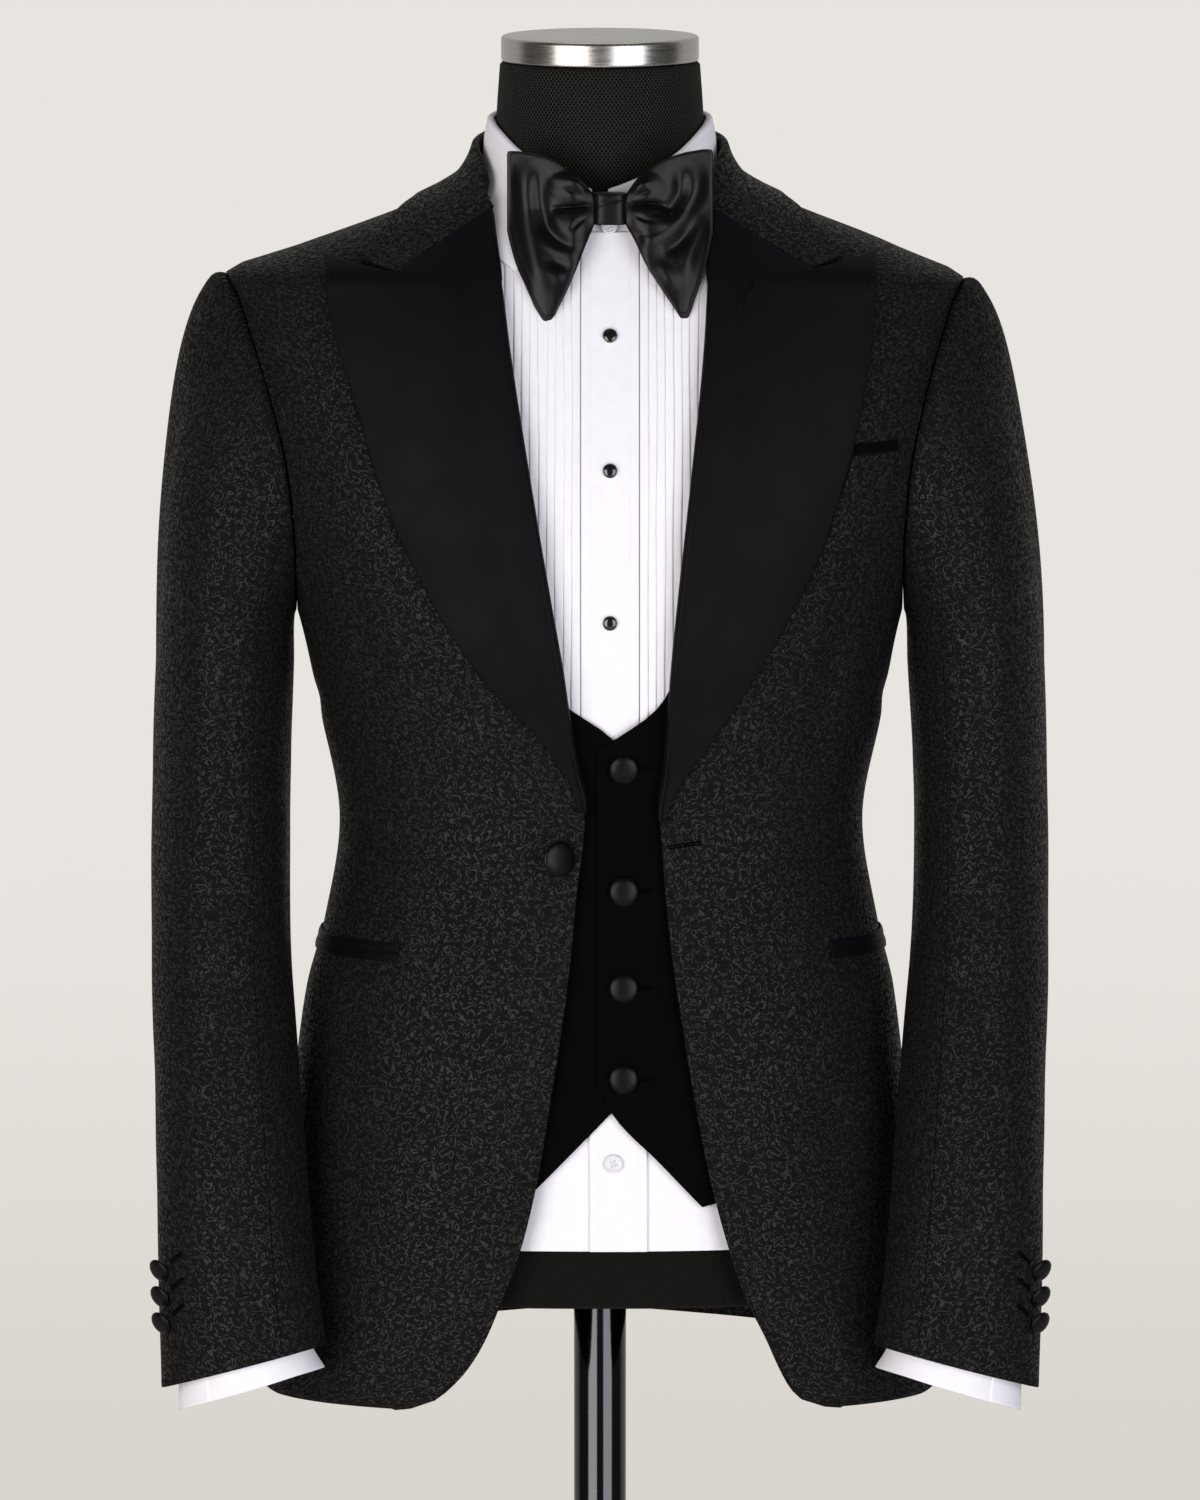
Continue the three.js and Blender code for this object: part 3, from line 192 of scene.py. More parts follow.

# %% [markdown]
# ## Creases
#
# Cloth on a form is never quite smooth: it sinks in soft troughs beside a seam, and rises in ridges
# where it hangs free. A noise texture would spread such marks evenly, which no tailor's cloth does, so
# each one is a listed line, with its own depth and width. A point is raised or lowered by how
# near it lies to the line. A very slow waver goes over everything, as pressed cloth keeps.

# %% Creases and waver
def resampled(points, count):
    """A polyline made smooth, with evenly counted points"""
    points = np.asarray(points, float)
    rows = [dict(k=k, **{str(a): p[a] for a in range(points.shape[1])}) for k, p in enumerate(points)]
    share = np.linspace(0, len(points) - 1, count)
    return np.stack([curve_through(rows, "k", str(a))(share) for a in range(points.shape[1])], axis=-1)


def creases(points, lines):
    """How far the crease lines lift each point. A line is its points, depth, width and end fade."""
    flat = points.reshape(-1, points.shape[-1])
    lift = np.zeros(len(flat))
    for line, depth, width, fade in lines:
        reach = 2.6 * width
        near = np.all((flat > line.min(axis=0) - reach) & (flat < line.max(axis=0) + reach), axis=1)
        here = flat[near]
        if not len(here):
            continue
        nearest, along = np.full(len(here), 1e9), np.zeros(len(here))
        for k, (a, b) in enumerate(zip(line[:-1], line[1:])):
            span = b - a
            t = np.clip((here - a) @ span / max(span @ span, 1e-9), 0, 1)
            distance = np.linalg.norm(here - a - t[:, None] * span, axis=1)
            closer = distance < nearest
            nearest[closer], along[closer] = distance[closer], (k + t[closer]) / (len(line) - 1)
        ends = smooth(0, max(fade, 1e-3), along) * smooth(0, max(fade, 1e-3), 1 - along)
        lift[near] += depth * np.exp(-((nearest / width) ** 2)) * ends
    return lift.reshape(points.shape[:-1])


def waver(points, depth, wavelength, seed):
    """Slow uneven waves, the same on every layer that shares a seed"""
    rng = np.random.default_rng(seed)
    total = np.zeros(points.shape[:-1])
    for _ in range(7):
        way = unit(rng.normal(size=3)) * 2 * np.pi / (wavelength * rng.uniform(0.6, 1.6))
        total += np.sin(points @ way + rng.uniform(0, 6.3))
    return depth * total / 2.6


def crease_lines(place, rows):
    """Each row is depth, width, end fade and the line's own places, which place() turns into points"""
    lines = []
    for depth, width, fade, *places in rows:
        dense = resampled(places, 4 * len(places))
        lines.append((place(dense[:, 0], dense[:, 1]), depth, width, fade))
    return lines

# %% [markdown]
# ## Where things lie on the cloth
#
# A pocket, button or stitch has to lie on the creased cloth, not on the smooth surface under it. So
# each region has one function that gives a point of its creased surface, a little way out, and every
# piece on that region is made from it. The two sides of the body are never quite the same.

# %% Points on the creased surfaces
def on_torso(surface, side, angle, z, out, lift):
    point, normal = surface.point(angle, z), surface.normal(angle, z)
    point[..., 0] *= side
    normal[..., 0] *= side
    return settle(point + normal * (lift(point) + out)[..., None])


def settle(points):
    """The wearer's left shoulder hangs lower and closer than the right one, and the left waist is fuller"""
    x, y, z = points[..., 0], points[..., 1], points[..., 2]
    shoulder = smooth(150, 245, x) * smooth(1130, 1320, z)
    moved = points.copy()
    waist = 3.0 * smooth(120, 190, x) * np.exp(-(((z - 1015) / 90) ** 2)) * (1 - smooth(185, 200, x))
    moved[..., 0] = x - 6.5 * shoulder + waist
    moved[..., 2] = z - 3.5 * shoulder
    return moved


def at_degrees(surface):
    return lambda angle, z: surface.point(np.radians(angle), z)


# depth, width, end fade, then (angle in degrees, height) places. -90 is the front and 0 the wearer's left.
JACKET_CREASES = crease_lines(at_degrees(jacket), [
    # the drape in front of each armhole
    (-1.5, 11, 0.3, (-38, 1185), (-40, 1120), (-43, 1060)),
    (1.1, 12, 0.3, (-30, 1150), (-31, 1090), (-34, 1030)),
    (-1.3, 10, 0.3, (-141, 1180), (-139, 1125), (-136, 1070)),
    # drag towards the button and the waist
    (-0.8, 8, 0.35, (-60, 1040), (-72, 1022), (-80, 1012)),
    (-0.7, 8, 0.35, (-55, 1000), (-70, 1000), (-79, 1008)),
    (-0.8, 8, 0.35, (-119, 1046), (-108, 1026), (-100, 1014)),
    (0.7, 9, 0.35, (-124, 1020), (-112, 1010), (-103, 1004)),
    # the skirt swings out in soft flutes
    (1.6, 24, 0.3, (-62, 880), (-60, 800), (-59, 690)),
    (-1.6, 22, 0.25, (-44, 900), (-40, 800), (-38, 680)),
    (1.8, 24, 0.25, (-18, 880), (-14, 790), (-12, 676)),
    (-1.6, 22, 0.25, (12, 900), (14, 800), (15, 680)),
    (1.9, 26, 0.25, (44, 890), (47, 790), (49, 690)),
    (-1.7, 24, 0.25, (70, 900), (71, 800), (71, 700)),
    (-1.6, 24, 0.25, (112, 880), (111, 790), (110, 700)),
    (1.8, 26, 0.25, (134, 900), (132, 800), (131, 690)),
    (-1.7, 22, 0.25, (160, 880), (163, 790), (165, 680)),
    (1.6, 24, 0.25, (-166, 900), (-164, 800), (-163, 676)),
    (-1.4, 22, 0.25, (-140, 880), (-138, 800), (-137, 690)),
    # the small of the back, and under the collar
    (-1.6, 10, 0.3, (52, 1034), (78, 1022), (97, 1028)),
    (1.2, 11, 0.3, (60, 1056), (85, 1042), (108, 1052)),
    (-1.4, 10, 0.3, (92, 1004), (112, 998), (132, 1008)),
    (-1.2, 9, 0.3, (118, 1040), (134, 1032), (150, 1042)),
    (-1.1, 12, 0.3, (62, 1352), (90, 1344), (118, 1352)),
    (1.0, 14, 0.3, (66, 1322), (90, 1312), (116, 1324)),
    # from the shoulder blades to the armholes
    (-1.5, 12, 0.3, (50, 1262), (58, 1210), (66, 1150)),
    (-1.4, 12, 0.3, (131, 1256), (123, 1204), (117, 1150)),
    (1.2, 14, 0.3, (40, 1230), (47, 1180), (52, 1120)),
    # under the arms
    (-1.5, 9, 0.3, (-18, 1110), (0, 1098), (16, 1106)),
    (-1.4, 9, 0.3, (166, 1108), (180, 1096), (196, 1104)),
])


def jacket_lift(point):
    return creases(point, JACKET_CREASES) + waver(point, 0.32, 150, 5)


def on_jacket(side, angle, z, out=0.0):
    return on_torso(jacket, side, angle, z, out, jacket_lift)


def front_of_jacket(side, x, z, out=0.0):
    return on_jacket(side, jacket.angle_of_x(x, z), z, out)


WAISTCOAT_CREASES = crease_lines(at_degrees(form), [
    (-0.7, 9, 0.35, (-70, 1060), (-55, 1040), (-42, 1044)),
    (-0.7, 8, 0.35, (-112, 1020), (-124, 1008), (-136, 1012)),
    (0.6, 9, 0.35, (-74, 940), (-60, 930), (-46, 936)),
])


def form_lift(point):
    return waver(point, 0.16, 120, 8)


def on_form(side, angle, z, out=0.0):
    return on_torso(form, side, angle, z, out, form_lift)


def front_of_form(side, x, z, out=0.0):
    return on_form(side, form.angle_of_x(x, z), z, out)


# %% Points on the sleeves
BICEPS = 1120
CUFF_PLANE = {"middle": 700, "outer_drop": 13, "back_drop": 5}
SLEEVE = table("z outer inner middle_y depth", [
    (1120, 270.5, 186.5, 0, 76), (1060, 272.5, 188.5, -8, 73), (1000, 273.3, 188.5, -20, 68),
    (940, 273, 187, -38, 62), (885, 271.5, 183, -58, 57), (840, 270, 179.5, -74, 52),
    (800, 268.7, 176, -86, 48), (750, 267.5, 171.5, -97, 43), (715, 266.7, 166.5, -103, 40),
    (680, 266, 162.5, -106, 38),
])
sleeve_curve = {name: curve_through(SLEEVE, "z", name) for name in ("outer", "inner", "middle_y", "depth")}


def sleeve_section(angle, z):
    outer, inner = sleeve_curve["outer"](z), sleeve_curve["inner"](z)
    x = (outer + inner) / 2 + (outer - inner) / 2 * np.cos(angle)
    y = sleeve_curve["middle_y"](z) - sleeve_curve["depth"](z) * np.sin(angle)
    return np.stack(np.broadcast_arrays(x, y, z), axis=-1).astype(float)


def sleeve_point(angle, t):
    """Angle 0 is the outer side and 90 degrees the front. t runs 0 to 1 over the head, then down to 2."""
    angle, t = np.broadcast_arrays(np.asarray(angle, float), np.asarray(t, float))
    crown = (1 + np.cos(angle)) / 2
    z = mix(ARMHOLE["low"], ARMHOLE["high"], crown)
    start = jacket.point(jacket.angle_of_share(-ARMHOLE["share"] * np.sin(angle), z), z)
    start[..., 0] += 0.7
    base = sleeve_section(angle, np.full_like(angle, BICEPS))
    out = np.stack([mix(2, 25, crown), -14 * np.sin(angle) * (1 - 0.4 * crown), 2 * crown - 4 * (1 - crown)], -1)
    rise = np.zeros_like(base)
    rise[..., 2] = (start[..., 2] - base[..., 2]) * 0.64
    s = np.clip(t, 0, 1)[..., None]
    head = ((1 - s) ** 3 * start + 3 * (1 - s) ** 2 * s * (start + out)
            + 3 * (1 - s) * s * s * (base + rise) + s**3 * base)
    hem = (CUFF_PLANE["middle"] - CUFF_PLANE["outer_drop"] * np.cos(angle)
           + CUFF_PLANE["back_drop"] * np.sin(angle))
    arm = sleeve_section(angle, mix(BICEPS, hem, np.clip(t - 1, 0, 1)))
    return np.where(t[..., None] <= 1, head, arm)


def sleeve_normal(angle, t):
    around = sleeve_point(angle + 0.04, t) - sleeve_point(angle - 0.04, t)
    down = sleeve_point(angle, t + 0.012) - sleeve_point(angle, np.maximum(0, t - 0.012))
    return unit(np.cross(around, down))


# depth, width, end fade, then (angle in degrees, share along the sleeve) places
SLEEVE_CREASES = crease_lines(lambda angle, t: sleeve_point(np.radians(angle), t), [
    (-1.3, 9, 0.3, (62, 1.30), (92, 1.33), (126, 1.31)),
    (1.0, 9, 0.3, (58, 1.365), (90, 1.395), (128, 1.37)),
    (-1.4, 8, 0.3, (66, 1.425), (96, 1.455), (134, 1.43)),
    (-1.0, 10, 0.3, (44, 1.54), (80, 1.56), (112, 1.52)),
    (-1.2, 12, 0.3, (-60, 1.20), (-84, 1.30), (-96, 1.42)),
    (1.2, 13, 0.3, (-40, 1.32), (-66, 1.42), (-86, 1.56)),
    (-1.1, 11, 0.3, (24, 0.42), (20, 0.75), (10, 1.1)),
    (0.9, 12, 0.3, (-20, 0.42), (-22, 0.8), (-16, 1.15)),
    (-1.2, 12, 0.3, (176, 1.15), (172, 1.3), (166, 1.5)),
    (-0.9, 12, 0.3, (8, 1.5), (16, 1.65), (18, 1.78)),
])


def on_sleeve(side, angle, t, out=0.0):
    point, normal = sleeve_point(angle, t), sleeve_normal(angle, t)
    lift = creases(point, SLEEVE_CREASES) * smooth(0, 0.15, t) * (1 - smooth(1.9, 2, t))
    lift = lift + waver(point * [side, 1, 1], 0.3, 130, 17) * smooth(0, 0.2, t)
    point = point + normal * (lift + out)[..., None]
    point[..., 0] *= side
    return settle(point)

# %% [markdown]
# ## Cloth as a thin closed shell
#
# Cloth has a thickness, and its cut edge is turned in and pressed, so it is round. Solidify on a flat
# sheet would leave a sharp box edge. Here both faces of the cloth are made from one grid of points,
# and near its border they close in on each other along a quarter circle, until they meet in one line.
# The grid also gives each corner its place on the flat cloth, in metres, as a UV map for the weave.


def add_piece(name, vertices, faces, material, replaces=(), uvs=None, sharp=None):
    mesh = bpy.data.meshes.new(name)
    faces = faces if isinstance(faces, list) else faces.tolist()
    mesh.from_pydata((np.asarray(vertices) * MM).tolist(), [], faces)
    mesh.polygons.foreach_set("use_smooth", [True] * len(mesh.polygons))
    if uvs is not None:
        mesh.uv_layers.new(name="cloth").data.foreach_set("uv", np.asarray(uvs, float).ravel() * MM)
    if sharp:
        mesh.set_sharp_from_angle(angle=math.radians(sharp))
    mesh.materials.append(material)
    piece = bpy.data.objects.new(name, mesh)
    bpy.context.scene.collection.objects.link(piece)
    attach(piece, "root")
    if replaces:
        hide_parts(*replaces)
    return piece


def spaced(length, grid, rim=1.4, start=0.0, end=1.0):
    """Shares from start to end: even steps, with closer ones near both ends where the edge rounds off"""
    near = np.array([0, 0.1, 0.3, 0.6, 1.0]) * rim / length
    even = np.linspace(near[-1], 1 - near[-1], max(2, round(length / grid)))
    return mix(start, end, np.concatenate([near[:-1], even, 1 - near[-2::-1]]))


def from_axis(points):
    return points * [1, 1, 0]


def shell_grid(points, thickness, ring=False, facing=from_axis, rim=None):
    """The two faces of a cloth whose middle is this grid of points, and which corners are the border"""
    rim = rim or 0.8 * thickness
    if ring:
        around = np.roll(points, -1, axis=1) - np.roll(points, 1, axis=1)
    else:
        around = np.gradient(points, axis=1)
    normal = unit(np.cross(around, np.gradient(points, axis=0)))
    if np.sum(normal * facing(points)) < 0:
        normal = -normal

    def from_border(axis):
        steps = np.linalg.norm(np.diff(points, axis=axis), axis=-1)
        zero = np.zeros_like(np.take(steps, [0], axis=axis))
        run = np.concatenate([zero, np.cumsum(steps, axis=axis)], axis=axis)
        return np.minimum(run, np.take(run, [-1], axis=axis) - run)

    distance = from_border(0) if ring else np.minimum(from_border(0), from_border(1))
    half = np.asarray(thickness) / 2 * np.sqrt(np.clip(1 - (1 - np.clip(distance / rim, 0, 1)) ** 2, 0, 1))
    border = np.zeros(points.shape[:2], bool)
    border[[0, -1], :] = True
    if not ring:
        border[:, [0, -1]] = True
    half = np.where(border, 0, half)
    return points + normal * half[..., None], points - normal * half[..., None], border, normal


def cloth(name, points, thickness, material, replaces=None, ring=False, facing=from_axis, rim=None,
          level=None):
    """A closed thin shell on a grid of points, with a UV map of the flat cloth"""
    rows, columns = points.shape[:2]
    outer, inner, border, normal = shell_grid(points, thickness, ring, facing, rim)
    index_out = np.arange(rows * columns).reshape(rows, columns)
    index_in = index_out.copy()
    index_in[~border] = rows * columns + np.arange(np.count_nonzero(~border))
    vertices = np.concatenate([outer.reshape(-1, 3), inner[~border]])

    # The flat cloth: up each column from one level row, and across by what is left of each step. Both
    # start in the middle, so that the weave is sheared least.
    closed = np.concatenate([points, points[:, :1]], axis=1) if ring else points
    along = np.linalg.norm(np.diff(closed, axis=0), axis=-1)
    flat_v = np.concatenate([np.zeros((1, closed.shape[1])), np.cumsum(along, axis=0)], axis=0)
    flat_v = flat_v - flat_v[[rows // 2 if level is None else level]]
    across = np.linalg.norm(np.diff(closed, axis=1), axis=-1)
    across = np.sqrt(np.maximum(across**2 - np.diff(flat_v, axis=1) ** 2, (0.3 * across) ** 2))
    flat_u = np.concatenate([np.zeros((rows, 1)), np.cumsum(across, axis=1)], axis=1)
    flat_u = flat_u - flat_u[:, [columns // 2]]
    if level is not None:  # above this row the grain stands straight up, whichever way the columns lean
        sideways = unit(np.cross(normal, [0, 0, 1]))
        sideways = sideways * np.sign(np.sum(sideways * np.gradient(points, axis=1), axis=-1))[..., None]
        downwards = np.cross(normal, sideways)
        downwards = -downwards * np.sign(downwards[..., 2:])
        step = np.diff(points, axis=0)[:level]
        for flat, way in ((flat_u, sideways), (flat_v, downwards)):
            move = np.sum(step * (way[1:level + 1] + way[:level]) / 2, axis=-1)
            flat[:level] = flat[level] - np.cumsum(move[::-1], axis=0)[::-1]

    j, i = np.meshgrid(np.arange(rows - 1), np.arange(closed.shape[1] - 1), indexing="ij")
    corners = [(j, i), (j, i + 1), (j + 1, i + 1), (j + 1, i)]
    turn = np.sum(np.cross(np.gradient(points, axis=1), np.gradient(points, axis=0)) * normal) > 0
    faces, uvs = [], []
    for index, forwards in ((index_out, turn), (index_in, not turn)):
        order = corners if forwards else corners[::-1]
        faces.append(np.stack([index[a, b % columns] for a, b in order], axis=-1).reshape(-1, 4))
        places = [np.stack([flat_u[a, b], flat_v[a, b]], -1) for a, b in order]
        uvs.append(np.stack(places, axis=2).reshape(-1, 2))
    piece = add_piece(name, vertices, np.concatenate(faces), material,
                      (name,) if replaces is None else replaces, np.concatenate(uvs))
    return piece


# %% [markdown]
# ## Finishes
#
# Nearly everything here is black, so the finishes differ by how they scatter light, not by colour:
# a figured jacquard whose raised yarn is glossier than its ground, a duchesse satin with a broad soft
# shine, a dull worsted wool, white poplin, and steel. Each pattern reads the cloth's own UV map, so it
# follows the weave. Real threads are 0.2 to 0.5 mm apart, too fine for the render, and are drawn at
# two to three times that where a comment says so. Black cloth throws back only 2 or 3 percent of the
# light from its surface, so the specular level of each one is turned down from plastic's 0.5.

# %% Helpers for materials
def colour(hex_value):
    """An sRGB hex colour as linear RGBA"""
    channels = [int(hex_value[i : i + 2], 16) / 255 for i in (1, 3, 5)]
    return tuple(c / 12.92 if c <= 0.04045 else ((c + 0.055) / 1.055) ** 2.4 for c in channels) + (1,)


def add_node(tree, kind, settings=None, inputs=None):
    """Adds a node. Settings are its properties. An input is a value, an output, or a node's first output."""
    made = tree.nodes.new(kind)
    for name, value in (settings or {}).items():
        setattr(made, name, value)
    for name, value in (inputs or {}).items():
        if isinstance(value, bpy.types.Node):
            value = value.outputs[0]
        if isinstance(value, bpy.types.NodeSocket):
            tree.links.new(value, made.inputs[name])
        else:
            made.inputs[name].default_value = value
    return made


def new_material(name):
    material = bpy.data.materials.new(name)
    material.use_nodes = True
    material.node_tree.nodes.clear()
    return material, material.node_tree


def finished(material, tree, shader):
    """Ends a material with its surface shader"""
    surface = add_node(tree, "ShaderNodeBsdfPrincipled", inputs=shader)
    add_node(tree, "ShaderNodeOutputMaterial", inputs={"Surface": surface})
    return material


PER_METRE = 1000  # a noise of scale 1000 / size has lumps about that many millimetres across
# the wave texture's own period is pi / 10, so this over a spacing in millimetres sets threads that far apart
WAVES = 100 * math.pi
SMOOTHSTEP = {"interpolation_type": "SMOOTHSTEP"}
COLOURS = {"data_type": "RGBA"}


# %% Jacquard of the jacket
def make_jacquard():
    # A worsted ground with a figure of short curled strokes, 4 to 6 mm long and 1 mm wide, in a glossier
    # yarn that stands about 0.2 mm proud. The ground's threads are drawn 0.9 mm apart, three times their
    # real spacing. The distance to the middle of a Voronoi cell grows evenly, so lines at equal steps of
    # it are arcs of one width. A random start in each cell and a noise break them up.
    material, tree = new_material("figured jacquard")
    place = add_node(tree, "ShaderNodeUVMap", {"uv_map": "cloth"})
    bend = add_node(tree, "ShaderNodeTexNoise", {}, {"Vector": place, "Scale": PER_METRE / 5, "Detail": 0.0})
    bent = add_node(tree, "ShaderNodeVectorMath", {"operation": "MULTIPLY_ADD"}, {
        0: bend.outputs["Color"], 1: (0.007, 0.007, 0.0), 2: place})
    cell_mm, step_mm = 5.6, 2.5
    cell = add_node(tree, "ShaderNodeTexVoronoi", {"voronoi_dimensions": "2D"}, {
        "Vector": bent, "Scale": PER_METRE / cell_mm, "Randomness": 0.9})
    start = add_node(tree, "ShaderNodeSeparateXYZ", {}, {0: cell.outputs["Color"]})
    steps = add_node(tree, "ShaderNodeMath", {"operation": "MULTIPLY_ADD"}, {
        0: cell.outputs["Distance"], 1: cell_mm / step_mm, 2: start.outputs["X"]})
    to_line = add_node(tree, "ShaderNodeMath", {"operation": "PINGPONG"}, {0: steps, 1: 0.5})
    line = add_node(tree, "ShaderNodeMapRange", SMOOTHSTEP, {"Value": to_line, 1: 0.14, 2: 0.26, 3: 1.0, 4: 0.0})
    patches = add_node(tree, "ShaderNodeTexNoise", {}, {
        "Vector": place, "Scale": PER_METRE / 3.4, "Detail": 0.0})
    kept = add_node(tree, "ShaderNodeMapRange", SMOOTHSTEP, {"Value": patches, 1: 0.38, 2: 0.46})
    figure = add_node(tree, "ShaderNodeMath", {"operation": "MULTIPLY"}, {0: line, 1: kept})
    threads = add_node(tree, "ShaderNodeTexWave", {"bands_direction": "X"}, {
        "Vector": place, "Scale": WAVES / 0.9, "Distortion": 0.4})
    drift = add_node(tree, "ShaderNodeTexNoise", {}, {"Vector": place, "Scale": PER_METRE / 60})
    ground = add_node(tree, "ShaderNodeMix", COLOURS, {0: drift, 6: colour("#050505"), 7: colour("#0b0b0b")})
    tone = add_node(tree, "ShaderNodeMix", COLOURS, {0: figure, 6: ground.outputs[2], 7: colour("#232221")})
    roughness = add_node(tree, "ShaderNodeMapRange", {}, {"Value": figure, 3: 0.8, 4: 0.4})
    height = add_node(tree, "ShaderNodeMath", {"operation": "MULTIPLY_ADD"}, {0: threads, 1: 0.15, 2: figure})
    relief = add_node(tree, "ShaderNodeBump", {}, {"Height": height, "Distance": 0.25 * MM, "Strength": 0.9})
    return finished(material, tree, {
        "Base Color": tone.outputs[2], "Roughness": roughness, "Normal": relief, "IOR": 1.48,
        "Specular IOR Level": 0.14, "Sheen Weight": 0.02, "Sheen Roughness": 0.4,
        "Sheen Tint": colour("#8a8a86")})


# %% Satins
def make_satin(name, tone, roughness, level, slub_mm):
    # Duchesse satin: long floats of fine filament lie side by side, so the shine is broad along the
    # cloth. The floats are drawn 0.6 mm apart, about three times their real spacing.
    material, tree = new_material(name)
    place = add_node(tree, "ShaderNodeUVMap", {"uv_map": "cloth"})
    turned_place = add_node(tree, "ShaderNodeMapping", {}, {"Vector": place, "Rotation": (0, 0, 0.6)})
    floats = add_node(tree, "ShaderNodeTexWave", {"bands_direction": "X"}, {
        "Vector": turned_place, "Scale": WAVES / 0.6, "Distortion": 0.4})
    slubs = add_node(tree, "ShaderNodeTexNoise", {}, {
        "Vector": place, "Scale": PER_METRE / slub_mm, "Detail": 3.0})
    sheen = add_node(tree, "ShaderNodeMapRange", SMOOTHSTEP, {
        "Value": slubs, 1: 0.3, 2: 0.7, 3: roughness - 0.03, 4: roughness + 0.04})
    height = add_node(tree, "ShaderNodeMath", {"operation": "MULTIPLY_ADD"}, {0: floats, 1: 0.3, 2: slubs})
    relief = add_node(tree, "ShaderNodeBump", {}, {"Height": height, "Distance": 0.03 * MM, "Strength": 0.4})
    return finished(material, tree, {
        "Base Color": colour(tone), "Roughness": sheen, "Normal": relief, "IOR": 1.5,
        "Specular IOR Level": level, "Sheen Weight": 0.04, "Sheen Roughness": 0.3})


# %% Wool, poplin and jersey
def make_wool(name, light, dark):
    # Worsted barathea: a dull, very close weave with a little nap, drawn at 1 mm, twice its real size.
    material, tree = new_material(name)
    place = add_node(tree, "ShaderNodeUVMap", {"uv_map": "cloth"})
    twills = []
    for turn in (0.9, -0.7):
        turned_place = add_node(tree, "ShaderNodeMapping", {}, {"Vector": place, "Rotation": (0, 0, turn)})
        twills.append(add_node(tree, "ShaderNodeTexWave", {}, {
            "Vector": turned_place, "Scale": WAVES, "Distortion": 0.4}))
    twill = add_node(tree, "ShaderNodeMath", {"operation": "MULTIPLY"}, {0: twills[0], 1: twills[1]})
    nap = add_node(tree, "ShaderNodeTexNoise", {}, {"Vector": place, "Scale": PER_METRE / 2.2, "Detail": 4.0})
    both = add_node(tree, "ShaderNodeMix", {}, {0: 0.4, 2: nap, 3: twill})
    tone = add_node(tree, "ShaderNodeMix", COLOURS, {0: both, 6: colour(dark), 7: colour(light)})
    relief = add_node(tree, "ShaderNodeBump", {}, {"Height": both, "Distance": 0.1 * MM, "Strength": 0.6})
    return finished(material, tree, {
        "Base Color": tone.outputs[2], "Roughness": 0.8, "Normal": relief, "IOR": 1.45,
        "Specular IOR Level": 0.05, "Sheen Weight": 0.01, "Sheen Roughness": 0.5})


def make_poplin():
    # Bleached cotton poplin: fine ribs along and across the cloth, nearly matt. They are drawn 0.8 mm
    # apart, three times their real spacing.
    material, tree = new_material("bleached poplin")
    place = add_node(tree, "ShaderNodeUVMap", {"uv_map": "cloth"})
    ribs = [add_node(tree, "ShaderNodeTexWave", {"bands_direction": way}, {
        "Vector": place, "Scale": WAVES / 0.8, "Distortion": 0.4}) for way in "XY"]
    slubs = add_node(tree, "ShaderNodeTexNoise", {}, {"Vector": place, "Scale": PER_METRE / 9, "Detail": 3.0})
    weave = add_node(tree, "ShaderNodeMath", {"operation": "ADD"}, {0: ribs[0], 1: ribs[1]})
    height = add_node(tree, "ShaderNodeMath", {"operation": "MULTIPLY_ADD"}, {0: weave, 1: 0.3, 2: slubs})
    tone = add_node(tree, "ShaderNodeMix", COLOURS, {0: slubs, 6: colour("#eceaf2"), 7: colour("#f5f4fa")})
    relief = add_node(tree, "ShaderNodeBump", {}, {"Height": height, "Distance": 0.06 * MM, "Strength": 0.4})
    return finished(material, tree, {
        "Base Color": tone.outputs[2], "Roughness": 0.75, "Normal": relief, "IOR": 1.45,
        "Specular IOR Level": 0.2})


def make_jersey():
    # The form's cover is a knitted mesh: small dark pits between threads that cross 2 mm apart. Below the
    # chest the lattice fades into an even, darker tone, which is painted shade on the low part of the form.
    material, tree = new_material("knitted form cover")
    place = add_node(tree, "ShaderNodeUVMap", {"uv_map": "cloth"})
    knit = 0.0
    for turn in (0.62, -0.62):
        turned_place = add_node(tree, "ShaderNodeMapping", {}, {"Vector": place, "Rotation": (0, 0, turn)})
        rows = add_node(tree, "ShaderNodeTexWave", {}, {
            "Vector": turned_place, "Scale": WAVES / 2.0, "Distortion": 0.5})
        knit = add_node(tree, "ShaderNodeMath", {"operation": "MAXIMUM"}, {0: rows, 1: knit})
    threads = add_node(tree, "ShaderNodeMapRange", SMOOTHSTEP, {"Value": knit, 1: 0.6, 2: 1.0})
    fuzz = add_node(tree, "ShaderNodeTexNoise", {}, {"Vector": place, "Scale": PER_METRE / 1.2})
    height = add_node(tree, "ShaderNodeSeparateXYZ", {}, {
        0: add_node(tree, "ShaderNodeTexCoord").outputs["Object"]})
    # painted shade: below the chest the knit's lattice gives way to an even, darker tone
    painted_shade_by_height = add_node(tree, "ShaderNodeMapRange", SMOOTHSTEP, {"Value": height.outputs["Z"], 1: 0.95, 2: 1.3})
    even = add_node(tree, "ShaderNodeMix", {}, {0: painted_shade_by_height, 2: 0.22, 3: threads})
    lit = add_node(tree, "ShaderNodeMath", {"operation": "MULTIPLY"}, {0: even, 1: fuzz})
    tone = add_node(tree, "ShaderNodeMix", COLOURS, {0: lit, 6: colour("#020202"), 7: colour("#413e3a")})
    relief = add_node(tree, "ShaderNodeBump", {}, {"Height": knit, "Distance": 0.4 * MM, "Strength": 0.7})
    return finished(material, tree, {
        "Base Color": tone.outputs[2], "Roughness": 0.85, "Normal": relief, "IOR": 1.45,
        "Specular IOR Level": 0.08, "Sheen Weight": 0.02, "Sheen Roughness": 0.5})


